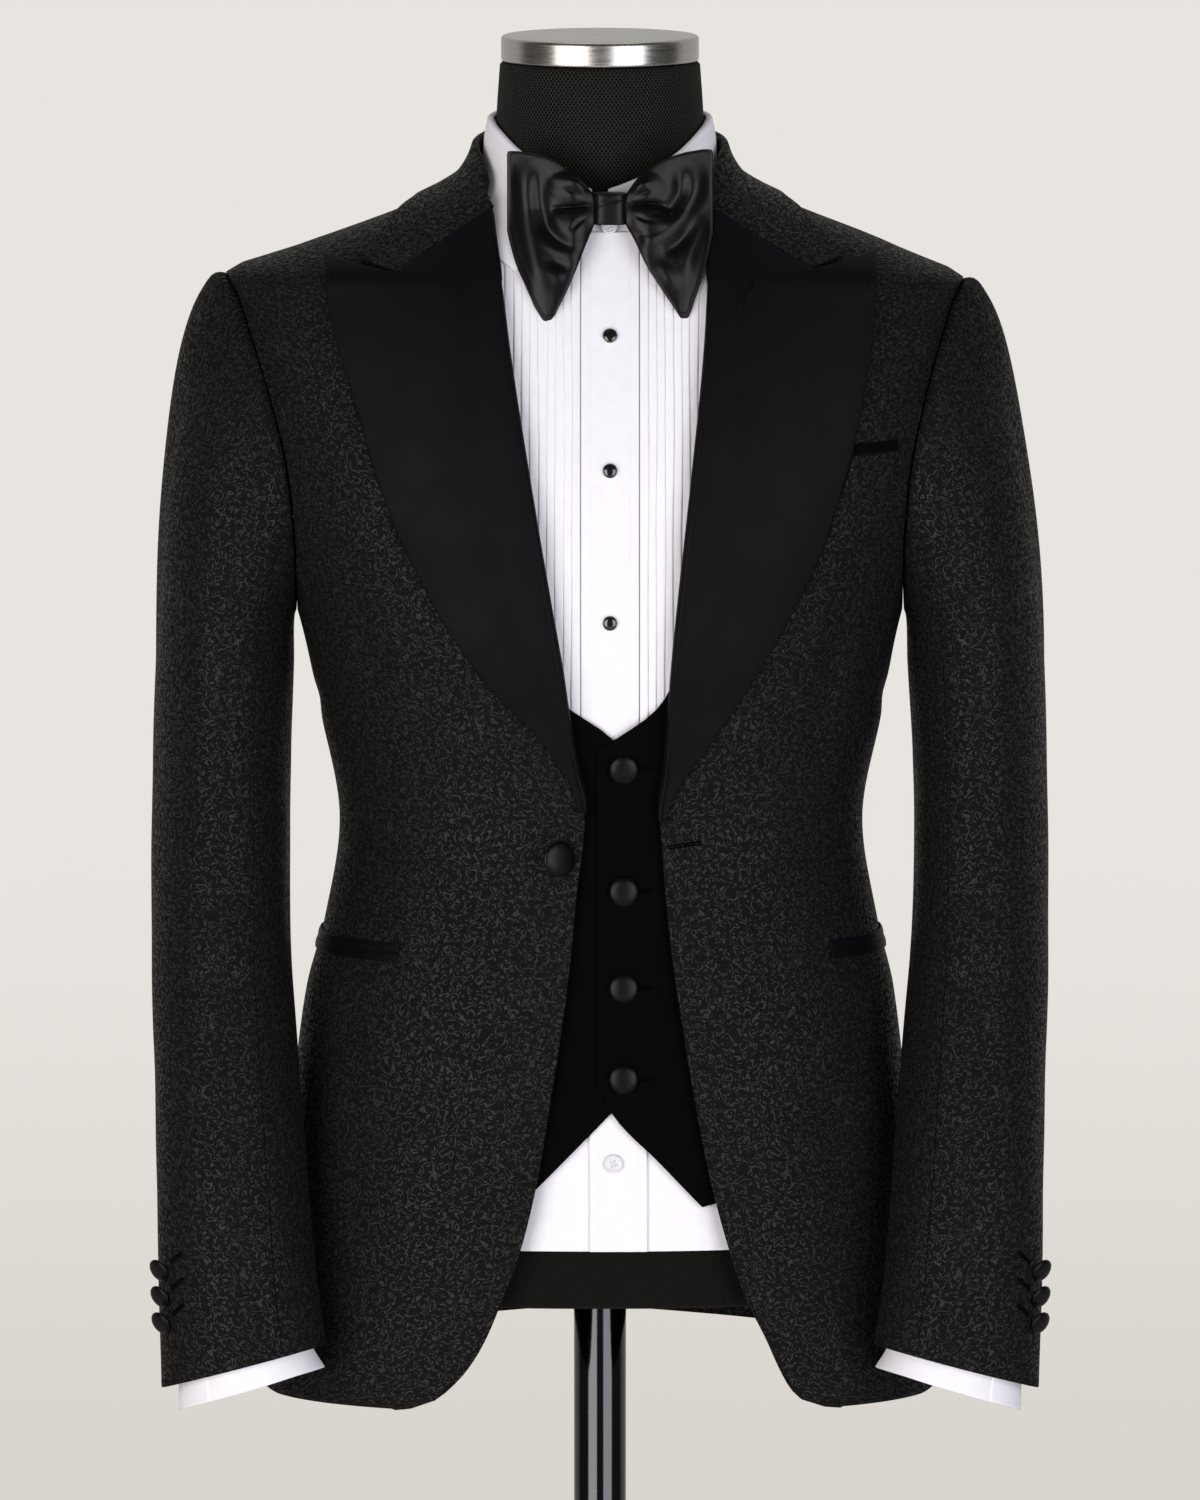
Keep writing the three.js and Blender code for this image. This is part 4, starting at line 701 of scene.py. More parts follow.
# %% Steel, enamel, pearl and thread
def make_steel(name, tones, roughness, streak_mm, depth_mm):
    # Turned and brushed steel: fine scratches run round it, so the noise is stretched along them.
    material, tree = new_material(name)
    place = add_node(tree, "ShaderNodeTexCoord").outputs["Object"]
    stretched = add_node(tree, "ShaderNodeMapping", {}, {"Vector": place, "Scale": (0.05, 0.05, 1.0)})
    scratches = add_node(tree, "ShaderNodeTexNoise", {}, {
        "Vector": stretched, "Scale": PER_METRE / streak_mm, "Detail": 3.0})
    patches = add_node(tree, "ShaderNodeTexNoise", {}, {"Vector": place, "Scale": PER_METRE / 45})
    both = add_node(tree, "ShaderNodeMix", {}, {0: 0.4, 2: scratches, 3: patches})
    tone = add_node(tree, "ShaderNodeMix", COLOURS, {0: scratches, 6: colour(tones[0]), 7: colour(tones[1])})
    gloss = add_node(tree, "ShaderNodeMapRange", SMOOTHSTEP, {
        "Value": both, 1: 0.3, 2: 0.7, 3: roughness - 0.04, 4: roughness + 0.05})
    relief = add_node(tree, "ShaderNodeBump", {}, {
        "Height": scratches, "Distance": depth_mm * MM, "Strength": 0.4})
    return finished(material, tree, {
        "Base Color": tone.outputs[2], "Metallic": 1.0, "Roughness": gloss, "Normal": relief})


def make_hard(name, tones, roughness, coat, level=0.5):
    # Enamel and pearl are smooth, with a clear depth: a coat over a slightly clouded colour. Thread has no
    # coat.
    material, tree = new_material(name)
    place = add_node(tree, "ShaderNodeTexCoord").outputs["Object"]
    clouds = add_node(tree, "ShaderNodeTexNoise", {}, {
        "Vector": place, "Scale": PER_METRE / 3, "Distortion": 0.5})
    tone = add_node(tree, "ShaderNodeMix", COLOURS, {0: clouds, 6: colour(tones[0]), 7: colour(tones[1])})
    gloss = add_node(tree, "ShaderNodeMapRange", SMOOTHSTEP, {
        "Value": clouds, 1: 0.3, 2: 0.7, 3: roughness, 4: roughness + 0.08})
    return finished(material, tree, {
        "Base Color": tone.outputs[2], "Roughness": gloss, "Coat Weight": coat, "Coat Roughness": 0.04,
        "IOR": 1.52, "Specular IOR Level": level})


JACQUARD = make_jacquard()
SATIN = make_satin("duchesse satin", "#0b0a0d", 0.5, 0.06, 30)
BUTTON_SATIN = make_satin("satin drawn over buttons", "#060607", 0.33, 0.17, 9)
SILK = make_satin("bow silk", "#050507", 0.33, 0.2, 30)
WOOL = make_wool("waistcoat worsted", "#050506", "#010101")
POPLIN = make_poplin()
JERSEY = make_jersey()
BRUSHED = make_steel("brushed steel", ("#99958f", "#c9c5c0"), 0.24, 0.9, 0.02)
CHROME = make_steel("black chrome", ("#3e3e40", "#48484a"), 0.1, 0.6, 0.001)
ENAMEL = make_hard("black enamel", ("#050506", "#0b0b0d"), 0.12, 1.0)
SILVER = make_steel("silver rim", ("#a8a8a8", "#dadada"), 0.15, 0.5, 0.003)
PEARL = make_hard("pearl button", ("#dcdadd", "#ecebf0"), 0.22, 0.5)
BLACK_THREAD = make_hard("black silk thread", ("#020202", "#050505"), 0.7, 0.0, level=0.03)
SATIN_THREAD = make_hard("black satin-stitch thread", ("#101012", "#18181a"), 0.5, 0.0, level=0.15)
WHITE_THREAD = make_hard("white thread", ("#e6e6ec", "#f4f4fa"), 0.6, 0.0)
print("finishes:", len(bpy.data.materials))

# %% [markdown]
# ## The dress form
#
# A dress form is a shell with a knitted cover, a metal cap on its neck, and a tube on a heavy disc. The
# cover is a grid on the form's own surface, rounded in at the bottom. The metal parts are turned on a
# lathe, so each is a profile turned round an axis, with every edge broken by a small radius.

# %% Turned pieces
def rounded_profile(corners, radius):
    """A profile of (radius, height) corners, each one broken by a small arc"""
    points = [corners[0]]
    for before, here, after in zip(corners, corners[1:], corners[2:]):
        before, here, after = (np.array(p, float) for p in (before, here, after))
        reach = min(radius, 0.45 * np.linalg.norm(before - here), 0.45 * np.linalg.norm(after - here))
        a, b = here + unit(before - here) * reach, here + unit(after - here) * reach
        for t in (0, 0.25, 0.5, 0.75, 1):
            points.append(tuple((1 - t) ** 2 * a + 2 * t * (1 - t) * here + t * t * b))
    return points + [corners[-1]]


def turned_mesh(profile, segments):
    """Points and faces of a closed profile turned round +Z; it starts and ends on the axis"""
    angles = np.arange(segments) * 2 * np.pi / segments
    inner = profile[1:-1]
    rings = np.array([[(r * np.cos(a), r * np.sin(a), h) for a in angles] for r, h in inner]).reshape(-1, 3)
    vertices = np.concatenate([[(0, 0, profile[0][1])], rings, [(0, 0, profile[-1][1])]])
    faces = []
    for i in range(segments):
        k = (i + 1) % segments
        faces.append((0, 1 + k, 1 + i))
        for row in range(len(inner) - 1):
            a = 1 + row * segments
            faces.append((a + i, a + k, a + segments + k, a + segments + i))
        last = 1 + (len(inner) - 1) * segments
        faces.append((last + i, last + k, len(vertices) - 1))
    return vertices, faces


def placed(vertices, position, facing, roll=0.0):
    turn = Vector((0, 0, 1)).rotation_difference(Vector(unit(np.asarray(facing, float)))).to_matrix()
    turn = turn @ Matrix.Rotation(roll, 3, "Z")
    return np.asarray(vertices) @ np.array(turn).T + position


def turned(name, profile, segments, material, position=(0, 0, 0), facing=(0, 0, 1), replaces=None,
           sharp=None):
    vertices, faces = turned_mesh(profile, segments)
    return add_piece(name, placed(vertices, position, facing), faces, material,
                     (name,) if replaces is None else replaces, None, sharp)


# %% The form, its cap, pole and base
FORM_BOTTOM, NECK_TOP = 734, 1484


def build_form_cover():
    heights = np.concatenate([np.linspace(FORM_BOTTOM + 9, 1385, 84), np.linspace(1390, NECK_TOP - 1.5, 30)])
    angles = np.pi / 2 + np.arange(144) * 2 * np.pi / 144  # from the middle of the back, where its seam is
    turn, level = np.meshgrid(angles, heights)
    inset = -3.4 * (1 - smooth(1405, 1430, level))
    side = form.point(turn, level) + form.normal(turn, level) * inset[..., None]
    under = []
    for share in (0.35, 0.65, 0.85, 0.93):  # the closed underside, then the cover turns up from it
        under.append(side[0] * [share, share, 0] + [0, 0, FORM_BOTTOM])
    for t in np.linspace(0.2, 0.8, 4) * np.pi / 2:
        size = 1 - 0.07 * (1 - np.sin(t))
        under.append(side[0] * [size, size, 0] + [0, 0, FORM_BOTTOM + 9 * (1 - np.cos(t))])
    top = side[-1].copy()
    top[:, :2] *= 0.975
    top[:, 2] = NECK_TOP
    grid = np.concatenate([np.array(under), side, top[None], (top * [0.5, 0.5, 1])[None]])
    count, columns = grid.shape[:2]
    vertices = np.concatenate([grid.reshape(-1, 3), [[0, 0, FORM_BOTTOM], [0, 0, NECK_TOP]]])
    closed = np.concatenate([grid, grid[:, :1]], axis=1)
    zero = np.zeros((count, 1))
    u = np.concatenate([zero, np.cumsum(np.linalg.norm(np.diff(closed, axis=1), axis=-1), axis=1)], axis=1)
    u = u - u[:, [columns // 2]]
    v = np.append(0, np.cumsum(np.linalg.norm(np.diff(grid[:, 0], axis=0), axis=-1)))
    faces, uvs = [], []
    for j in range(count - 1):
        for i in range(columns):
            k = (i + 1) % columns
            faces.append((j * columns + i, j * columns + k, (j + 1) * columns + k, (j + 1) * columns + i))
            uvs += [(u[j, i], v[j]), (u[j, i + 1], v[j]), (u[j + 1, i + 1], v[j + 1]), (u[j + 1, i], v[j + 1])]
    for i in range(columns):
        k = (i + 1) % columns
        faces.append((k, i, count * columns))
        faces.append(((count - 1) * columns + i, (count - 1) * columns + k, count * columns + 1))
        uvs += [(0, 0), (4, 0), (0, 4)] * 2
    return add_piece("form_cover", vertices, faces, JERSEY, ("form_torso",), np.array(uvs))


build_form_cover()
turned("neck_cap", rounded_profile([(0, 1484.4), (60, 1484.4), (60, 1500), (0, 1500)], 2.4), 96, BRUSHED,
       sharp=50)
turned("pole", rounded_profile([(0, 10.4), (16, 10.4), (16, 733.7), (0, 733.7)], 0.8), 64, CHROME,
       sharp=50)
BASE_PROFILE = rounded_profile([
    (0, 0), (185, 0), (185, 7), (181, 10), (46, 10), (34, 13), (25, 24), (25, 46), (16.3, 46), (16.3, 10),
    (0, 10),
], 2.5)
turned("base", BASE_PROFILE, 128, CHROME, sharp=50)

# %% [markdown]
# ## The jacket's body
#
# Six panels make the body: two fronts, two side bodies and two backs. Each is its CAD solid's outline
# on the jacket's surface, at a 5 mm grid, so that the creases show and the file stays small.

# %% Jacket panels
CLOTH = 1.7
EDGE_ROLL = 0.7  # a pressed seam rounds off over less than the cloth's thickness
SEAM_SHARE = 0.0001
HEM = {"front": 674, "seam": 682, "back": 700}
SIDE_SEAM = 0.42
ARMPIT_ROW, SIDE_TOP, GORGE_ROW, TOP_ROW = 1120, 1187, 1372, 1407
FRONT_EDGE = table("z right left", [
    (674, 124, 146), (676.5, 108, 130), (682, 98, 120), (688, 91, 115), (699, 81, 109), (717, 70, 101),
    (746, 58, 87), (770, 49, 79), (815, 38, 67), (860, 30.5, 58), (908, 23, 50), (956, 17, 43),
    (996, 13.4, 39), (1017, 10.4, 37.5), (1038, 9, 36), (1066, 12, 37.5), (1108, 19.5, 41),
    (1168, 30.5, 47.5), (1240, 42.7, 55.5), (1318, 55, 63), (1384, 62.8, 66), (1400, 66, 69), (1407, 72, 76),
])
GRID = 5.0


def outer_share(z):
    """The side seam, then the armhole, then the shoulder seam, as a share of the depth"""
    seam = np.where(z < 1188, SIDE_SEAM, 0)
    return np.maximum(np.maximum(np.where(z > 1355, 0.003, 0), seam), armhole_share(ARMHOLE, z))


def from_hem(row, hem):
    """Below the armpit the rows spread out evenly, down to this part's own hem"""
    below = (ARMPIT_ROW - row) * (ARMPIT_ROW - hem) / (ARMPIT_ROW - HEM["front"])
    return np.where(row > ARMPIT_ROW, row, ARMPIT_ROW - below)


def front_grid(name):
    side, edge = SIDES[name], curve_through(FRONT_EDGE, "z", name)
    heights = spaced(GORGE_ROW - HEM["front"], GRID, start=HEM["front"], end=GORGE_ROW)
    heights = np.concatenate([heights[:-5], spaced(60, 3, start=GORGE_ROW, end=TOP_ROW)[4:]])
    across = spaced(230, GRID)
    across = np.concatenate([across[:4], np.array([1.4, 2.1, 2.6, 3.1, 3.6, 4.3, 6.0]) / 230, across[5:]])
    across, rows = np.meshgrid(across, heights)
    neck = mix(1390, TOP_ROW, across)
    z = np.where(rows > GORGE_ROW, mix(GORGE_ROW, neck, (rows - GORGE_ROW) / (TOP_ROW - GORGE_ROW)), rows)
    outer = jacket.angle_of_share(-outer_share(z) - SEAM_SHARE, z)
    cut = edge(z) + 2 * smooth(1035, 1050, z)
    # the edge is stitched 3 mm in, which draws a fine line below the lapel
    pressed = -0.3 * np.exp(-(((across * 230 - 3.1) / 0.7) ** 2)) * (1 - smooth(1000, 1030, z))
    return on_jacket(side, mix(jacket.angle_of_x(cut, z), outer, across), z, pressed - CLOTH / 2)


def side_grid(name):
    shares = mix(-SIDE_SEAM + SEAM_SHARE, SIDE_SEAM - SEAM_SHARE, spaced(110, GRID))
    share, rows = np.meshgrid(shares, spaced(SIDE_TOP - HEM["front"], GRID, start=HEM["front"], end=SIDE_TOP))
    hem = mix(HEM["front"], HEM["seam"], (share + SIDE_SEAM) / (2 * SIDE_SEAM))
    rise = (rows - ARMPIT_ROW) / (SIDE_TOP - ARMPIT_ROW)
    z = np.where(rise > 0, mix(ARMPIT_ROW, armhole_floor(ARMHOLE, share), rise), from_hem(rows, hem))
    return on_jacket(SIDES[name], jacket.angle_of_share(share, z), z, -CLOTH / 2)


def back_grid(name):
    rows = spaced(TOP_ROW - HEM["front"], GRID, start=HEM["front"], end=TOP_ROW)
    across, rows = np.meshgrid(spaced(200, GRID), rows)
    z = from_hem(rows, mix(HEM["seam"], HEM["back"], across))
    outer = jacket.angle_of_share(outer_share(z) + SEAM_SHARE, z)
    # below the vent's top the wearer's left back laps over the right one
    vent = (1 - smooth(840, 872, z)) * (name == "left")
    centre = np.pi / 2 - 0.002 + 0.11 * smooth(0.3, 1, vent)
    lap = 1.9 * smooth(0, 0.3, vent) * smooth(0.72, 0.9, across)
    return on_jacket(SIDES[name], mix(outer, centre, across), z, lap - CLOTH / 2)


for name in SIDES:
    for part, grid in (("front", front_grid), ("side", side_grid), ("back", back_grid)):
        piece = cloth(f"jacket_{part}_{name}", grid(name), CLOTH, JACQUARD, rim=EDGE_ROLL)
        print(piece.name, len(piece.data.polygons), "faces")

# %% [markdown]
# ## Lapels and collar
#
# A lapel is the facing turned back along the roll line, so its inner edge is a soft fold, not a cut.
# The satin therefore starts behind the front's edge, comes round it and lies out over the chest. Bend
# modifiers could roll a flat piece, but its outline would be hard to keep, so the roll is three runs of
# one grid: the tail inside, a half circle, and the leaf between the roll line and the outer edge.

# %% Lapels
LAPELS = {
    "right": {
        "gorge": (67, 1398.5), "notch": (122.6, 1361.5), "corner": (146.6, 1369), "peak": (166.5, 1369.5),
        "edge": [(13, 1040), (16, 1053), (33.6, 1080.6), (67, 1117), (94.6, 1156), (113.5, 1192), (123, 1212),
                 (136.4, 1249), (146.6, 1284), (155.2, 1312), (162, 1337.5), (166.5, 1369.5)],
    },
    "left": {
        "gorge": (70, 1398.5), "notch": (126.6, 1363), "corner": (148, 1370.5), "peak": (167, 1372),
        "edge": [(40, 1034), (43, 1047), (54.9, 1065.5), (76.3, 1096), (97.6, 1129), (116, 1162), (131, 1192.5),
                 (142, 1224), (151.5, 1257.5), (157.6, 1287.5), (164.3, 1328), (167, 1372)],
    },
}
LEAF = 1.6  # the satin and the canvas under it
NOTCH_AT = 0.56


def on_front(point):
    return np.array([float(jacket.angle_of_x(point[0], point[1])), point[1]])


def lapel_place(name):
    """Turns shares across and along the leaf into an angle and a height on the jacket"""
    shape, roll_x = LAPELS[name], curve_through(FRONT_EDGE, "z", name)
    start = shape["edge"][0][1]
    # the leaf's top edge stays 0.9 mm under the collar's, and is free from the notch out
    gorge, notch, peak = (on_front((shape[key][0], shape[key][1] - drop))
                          for key, drop in (("gorge", 0.9), ("notch", 0.9), ("peak", 0)))
    rows = [dict(i=i, x=x, z=z) for i, (x, z) in enumerate(shape["edge"])]
    edge_x, edge_z, last = curve_through(rows, "i", "x"), curve_through(rows, "i", "z"), len(rows) - 1

    def place(s, t):
        z = mix(start, gorge[1], t)
        roll = np.where(t < 1, jacket.angle_of_x(roll_x(z) + 2.4 * smooth(0, 0.1, t), z), gorge[0])
        x, height = edge_x(t * last), edge_z(t * last)
        angle, z = mix(roll, jacket.angle_of_x(x, height), s), mix(z, height, s)
        pulled = []
        for a, value in enumerate((angle, z)):  # the top edge runs by way of the notch out to the peak
            top = np.where(s < NOTCH_AT, mix(gorge[a], notch[a], s / NOTCH_AT),
                           mix(notch[a], peak[a], (s - NOTCH_AT) / (1 - NOTCH_AT)))
            pulled.append(value + t**4 * (top - mix(gorge[a], peak[a], s)))
        return pulled

    return place


def lapel_out(s, t):
    """How far the middle of the leaf stands off the front"""
    lift = 1.6 * (1 - smooth(0, 0.3, s)) + 2.6 * smooth(0.6, 1, t) * smooth(0, 0.6, s)
    belly = 1.2 * np.sin(np.pi * np.clip(s, 0, 1)) * np.sin(np.pi * np.clip(t, 0, 1)) ** 0.8
    return 1.45 + LEAF / 2 + 0.85 * lift + belly


def lapel_grid(name):
    side, place = SIDES[name], lapel_place(name)
    along = spaced(380, 4)
    leaf = spaced(150, 3.5)
    leaf = np.unique(np.concatenate([leaf[4:], np.linspace(0, leaf[4], 3), [NOTCH_AT]]))
    s, t = np.meshgrid(leaf, along)
    angle, z = place(s, t)
    flat = on_jacket(side, angle, z, lapel_out(s, t))
    # the roll: from the leaf's first column round to the inside of the front
    first = flat[:, 0]
    inwards = unit(flat[:, 0] - flat[:, 2])
    normal = jacket.normal(angle[:, 0], z[:, 0]) * [side, 1, 1]
    radius = (lapel_out(0.0, along) + 3.1)[:, None] / 2 * smooth(-0.02, 0.06, along)[:, None]
    centre = first - normal * radius
    turn = np.linspace(np.pi, 0, 10)[:-1]
    roll = np.stack([centre + radius * (np.cos(a) * normal + 0.9 * np.sin(a) * inwards) for a in turn], axis=1)
    tail = np.stack([roll[:, 0] - inwards * reach for reach in (7, 6.6, 5.8, 4, 2)], axis=1)
    return np.concatenate([tail, roll, flat], axis=1)


for name in SIDES:
    cloth(f"lapel_{name}", lapel_grid(name), LEAF, SATIN, facing=lambda p: p * 0 + [0, -1, 0])

# %% Jacket collar
COLLAR_STATIONS = table("k edge_angle edge_z fold_angle fold_z", [
    (1, -31, 1384, -33, 1416), (2, -14, 1394, -18, 1427), (3, 0, 1399, 0, 1433), (4, 18, 1400, 18, 1436),
    (5, 36, 1399, 36, 1438), (6, 54, 1398, 54, 1440), (7, 72, 1396, 72, 1440), (8, 90, 1395, 90, 1440),
])


def collar_half(name):
    """Edge and fold of the collar, as angle and height, from its front end to the middle of the back"""
    notch, corner, gorge = (on_front(LAPELS[name][key]) for key in ("notch", "corner", "gorge"))
    first = dict(k=0, edge_angle=np.degrees(corner[0]), edge_z=corner[1], fold_angle=-42, fold_z=1406.5)
    rows = [first] + COLLAR_STATIONS
    k = np.linspace(0, 8, 56)
    edge, fold = (np.stack([np.radians(curve_through(rows, "k", line + "_angle")(k)),
                            curve_through(rows, "k", line + "_z")(k)], -1) for line in ("edge", "fold"))
    share = np.array([0, 0.01, 0.03, 0.06, 0.15, 0.3, 0.45, 0.6, 0.75, 0.88])[:, None]
    edge = np.concatenate([mix(notch, corner, share), edge])
    fold = np.concatenate([mix(gorge, fold[0], share), fold])
    return edge, fold


def collar_grid():
    halves = []
    for name, side in SIDES.items():
        edge, fold = collar_half(name)
        foot = np.where(fold[:, 1] > 1414, np.maximum(1410, fold[:, 1] - 25), fold[:, 1] - 3.5)
        rows = []
        for down in np.linspace(1, 0.1, 7):  # the stand, up to the fold
            rows.append(on_jacket(side, fold[:, 0], mix(fold[:, 1], foot, down), -1.2))
        for a in np.linspace(np.pi, 0, 9)[1:-1]:  # over the fold
            rows.append(on_jacket(side, fold[:, 0], fold[:, 1] + 1.9 * np.sin(a), 0.5 + 1.75 * np.cos(a)))
        for down in np.concatenate([np.linspace(0.03, 0.9, 16), [0.95, 0.975, 0.99, 1]]):  # the fall
            place = mix(fold, edge, down)
            belly = np.sin(np.pi * down)
            rows.append(on_jacket(side, place[:, 0], place[:, 1], 2.25 + belly + 1.5 * smooth(0.4, 1, down)))
        half = np.array(rows)
        halves.append(half if side > 0 else half[:, ::-1][:, 1:])
    return np.concatenate([halves[0], halves[1]], axis=1)


cloth("jacket_collar", collar_grid(), 1.6, JACQUARD)

# %% [markdown]
# ## Sleeves
#
# A tailored sleeve is two pieces, a wide top sleeve and a narrow under sleeve, sewn along the front
# and the back of the arm. Its head is a little fuller than the armhole, and rolls over it in a ridge.

# %% Sleeves
SLEEVE_SEAM = 120
HEAD_ROWS = len(spaced(150, 4.5)) - 4  # the grid's rows over the sleeve's head
SEAM_GAP = 0.12


def sleeve_grid(name, first, last, columns):
    along = np.concatenate([spaced(150, 4.5, start=0, end=1)[:-4], spaced(420, GRID, start=1, end=2)[4:]])
    angle, t = np.meshgrid(np.radians(mix(first, last, spaced(columns, GRID))), along)
    ridge = 1.6 * np.exp(-(((t - 0.075) / 0.07) ** 2)) * smooth(-0.6, 0.6, np.cos(angle))
    ease = 0.35 * np.sin(angle * 22) * np.exp(-(((t - 0.1) / 0.1) ** 2)) * smooth(-0.2, 0.8, np.cos(angle))
    return on_sleeve(SIDES[name], angle, t, ridge + ease - CLOTH / 2)


for name, side in SIDES.items():
    facing = lambda p, side=side: (p - np.array([side * 228, -40, 0])) * [1, 1, 0]
    for part, first, last, columns in (
        ("top", -SLEEVE_SEAM + SEAM_GAP, SLEEVE_SEAM - SEAM_GAP, 300),
        ("under", SLEEVE_SEAM + SEAM_GAP, 360 - SLEEVE_SEAM - SEAM_GAP, 150),
    ):
        cloth(f"{part}_sleeve_{name}", sleeve_grid(name, first, last, columns), CLOTH, JACQUARD,
              facing=facing, rim=EDGE_ROLL, level=HEAD_ROWS)

# %% [markdown]
# ## Pockets and buttons
#
# A jetted pocket is two narrow lips of satin that meet, and a welt is a strip of the cloth over its
# mouth. Both lie on the front, so they are grids on its creased surface. The buttons are metal moulds
# covered in satin: a dome turned on a lathe, with the cloth drawn tight round its edge.

# %% Pockets
JET = {"height": 5.6, "gap": 0.5, "length": 150}
HIP_POCKETS = {"right": (121.5, 951), "left": (139, 951)}
for name, (x, z) in HIP_POCKETS.items():
    start = float(jacket.angle_of_x(x, z))
    dense = np.linspace(start, start + 2, 800)
    run = np.cumsum(np.linalg.norm(np.diff(jacket.point(dense, z), axis=0), axis=1))
    end = dense[1 + np.searchsorted(run, JET["length"])]
    for row, label in ((0, "lower"), (1, "upper")):
        bottom = z + (row - 1) * (JET["height"] + JET["gap"])
        heights = mix(bottom, bottom + JET["height"], spaced(JET["height"], 1.0, rim=0.9))
        angle, height = np.meshgrid(mix(start, end, spaced(JET["length"], 3)), heights)
        share = (angle - start) / (end - start)
        lip = 0.45 * np.sin(np.pi * np.clip((height - bottom) / JET["height"], 0, 1))
        points = on_jacket(SIDES[name], angle, height - 3 * share, 1.0 + lip)
        cloth(f"hip_jet_{label}_{name}", points, 1.0, SATIN, rim=0.4)

lapel_edge = curve_through([dict(x=x, z=z) for x, z in LAPELS["left"]["edge"]], "z", "x")


def chest_strip(name, low, high, right, out, thickness, material):
    across, rows = np.meshgrid(spaced(30, 2.5, rim=0.9), mix(low, high, spaced(high - low, 2.0, rim=0.9)))
    x = mix(lapel_edge(rows) + 0.9, right(rows), across)
    points = on_jacket(1, jacket.angle_of_x(x, rows), rows + 1.5 * across, out)
    return cloth(name, points, thickness, material)


chest_strip("breast_welt", 1231, 1253.6, lambda z: 176.5 + (z - 1231) * 0.12, 1.2, 1.3, JACQUARD)
# The strip over the welt is the pocket's open mouth: a sheet of the darkest, dullest wool, which stands for the
# shade inside the opening, so its dark is painted shade.
chest_strip("breast_pocket_mouth", 1254.2, 1260.5, lambda z: z * 0 + 180.5, 0.85, 0.8, WOOL)

# %% Covered buttons
# a covered button's outline from its back to its middle, as shares of its radius and height
CROWN = [(0.8, 0), (0.93, 0.12), (0.99, 0.3), (1, 0.42), (0.975, 0.56), (0.9, 0.7), (0.75, 0.83), (0.55, 0.93),
         (0.3, 0.985), (0, 1)]


def dome(radius, height, shank=0.0):
    """The profile of a covered button, with a rolled edge and a shallow crown"""
    stem = [(0, -shank), (radius * 0.28, -shank), (radius * 0.28, -0.2)] if shank else [(0, 0)]
    return stem + [(radius * across, height * up) for across, up in CROWN]


def point_and_normal(place):
    """A point of a creased surface and its normal; place(dx, dy) is a point near it, in millimetres"""
    across, up = place(2.0, 0.0) - place(-2.0, 0.0), place(0.0, 2.0) - place(0.0, -2.0)
    normal = unit(np.cross(across, up))
    return place(0.0, 0.0), normal


JACKET_BUTTON = {"x": 25, "z": 1012, "radius": 11, "height": 4.5, "shank": 4, "stand": 5.6, "turn": 36}
CUFF_BUTTONS = {"count": 3, "radius": 7.4, "height": 3.4, "angle": 24, "first": 0.909, "spacing": 0.0365,
                "faces": (0.66, -0.64, -0.38)}
WAISTCOAT_BUTTONS = {"x": 14, "radius": 8.9, "height": 4.2, "z": (1067, 991, 932, 877)}


def cuff_button_place(i):
    return 1 + CUFF_BUTTONS["first"] - i * CUFF_BUTTONS["spacing"]


def outwards(normal, point):
    return normal if np.dot(normal, point * [1, 1, 0]) > 0 else -normal


spot, facing = point_and_normal(
    lambda dx, dy: front_of_jacket(-1, np.array(JACKET_BUTTON["x"] + dx), np.array(JACKET_BUTTON["z"] + dy)))
facing = outwards(facing, spot)
swing = Matrix.Rotation(math.radians(JACKET_BUTTON["turn"]), 3, "Z")
button = dome(JACKET_BUTTON["radius"], JACKET_BUTTON["height"], JACKET_BUTTON["shank"])
turned("jacket_button", button, 56, BUTTON_SATIN, spot + facing * JACKET_BUTTON["stand"],
       np.array(swing @ Vector(facing)))

for name, side in SIDES.items():
    for i in range(CUFF_BUTTONS["count"]):
        t, angle = cuff_button_place(i), math.radians(CUFF_BUTTONS["angle"])
        spot = on_sleeve(side, np.array(angle), np.array(t), 0.9)
        centre = on_sleeve(side, np.array([0, np.pi]), np.array([t, t])).mean(axis=0)
        facing = np.array(CUFF_BUTTONS["faces"]) * [side, 1, 1]
        spot = spot + 1.6 * unit((spot - centre) * [1, 1, 0])  # tilted, so that they overlap like tiles
        button = dome(CUFF_BUTTONS["radius"], CUFF_BUTTONS["height"])
        turned(f"cuff_button_{name}_{i + 1}", button, 40, BUTTON_SATIN, spot, facing)

# %% [markdown]
# ## Waistcoat
#
# The waistcoat's fronts lap left over right, with a pointed hem and a low neckline. The corners of
# the hem and of the neckline are rows and columns of the grid, so that they stay sharp.

# %% Waistcoat
WAISTCOAT = {"low": 5, "thickness": 1.2, "lift": 1.9}
WAISTCOAT_HOLE = {"low": 1128, "high": 1373, "share": 0.5}
WAISTCOAT_FRONTS = {
    "left": {
        "neckline": table("z x", [(860, -2), (1079, -2), (1085, 9), (1109, 38), (1138, 49), (1207, 62),
                                  (1263, 72), (1350, 90), (1389, 99)]),
        "hem": table("x z", [(-2, 875), (7, 856), (34, 827), (61, 798), (75, 802), (100, 818), (135, 836),
                             (165, 846), (185, 850)]),
        "corners": (-2, 7, 34, 61, 80, 110, 139, 159),
    },
    "right": {
        "neckline": table("z x", [(860, -22), (1062, -22), (1085, -7), (1109, 24), (1138, 37), (1207, 50),
                                  (1263, 60), (1350, 78), (1389, 99)]),
        "hem": table("x z", [(-22, 872), (-7, 856), (21, 827), (49, 798), (63, 802), (90, 818), (130, 836),
                             (165, 846), (185, 850)]),
        "corners": (-22, -7, 21, 49, 72, 105, 137, 159),
    },
}


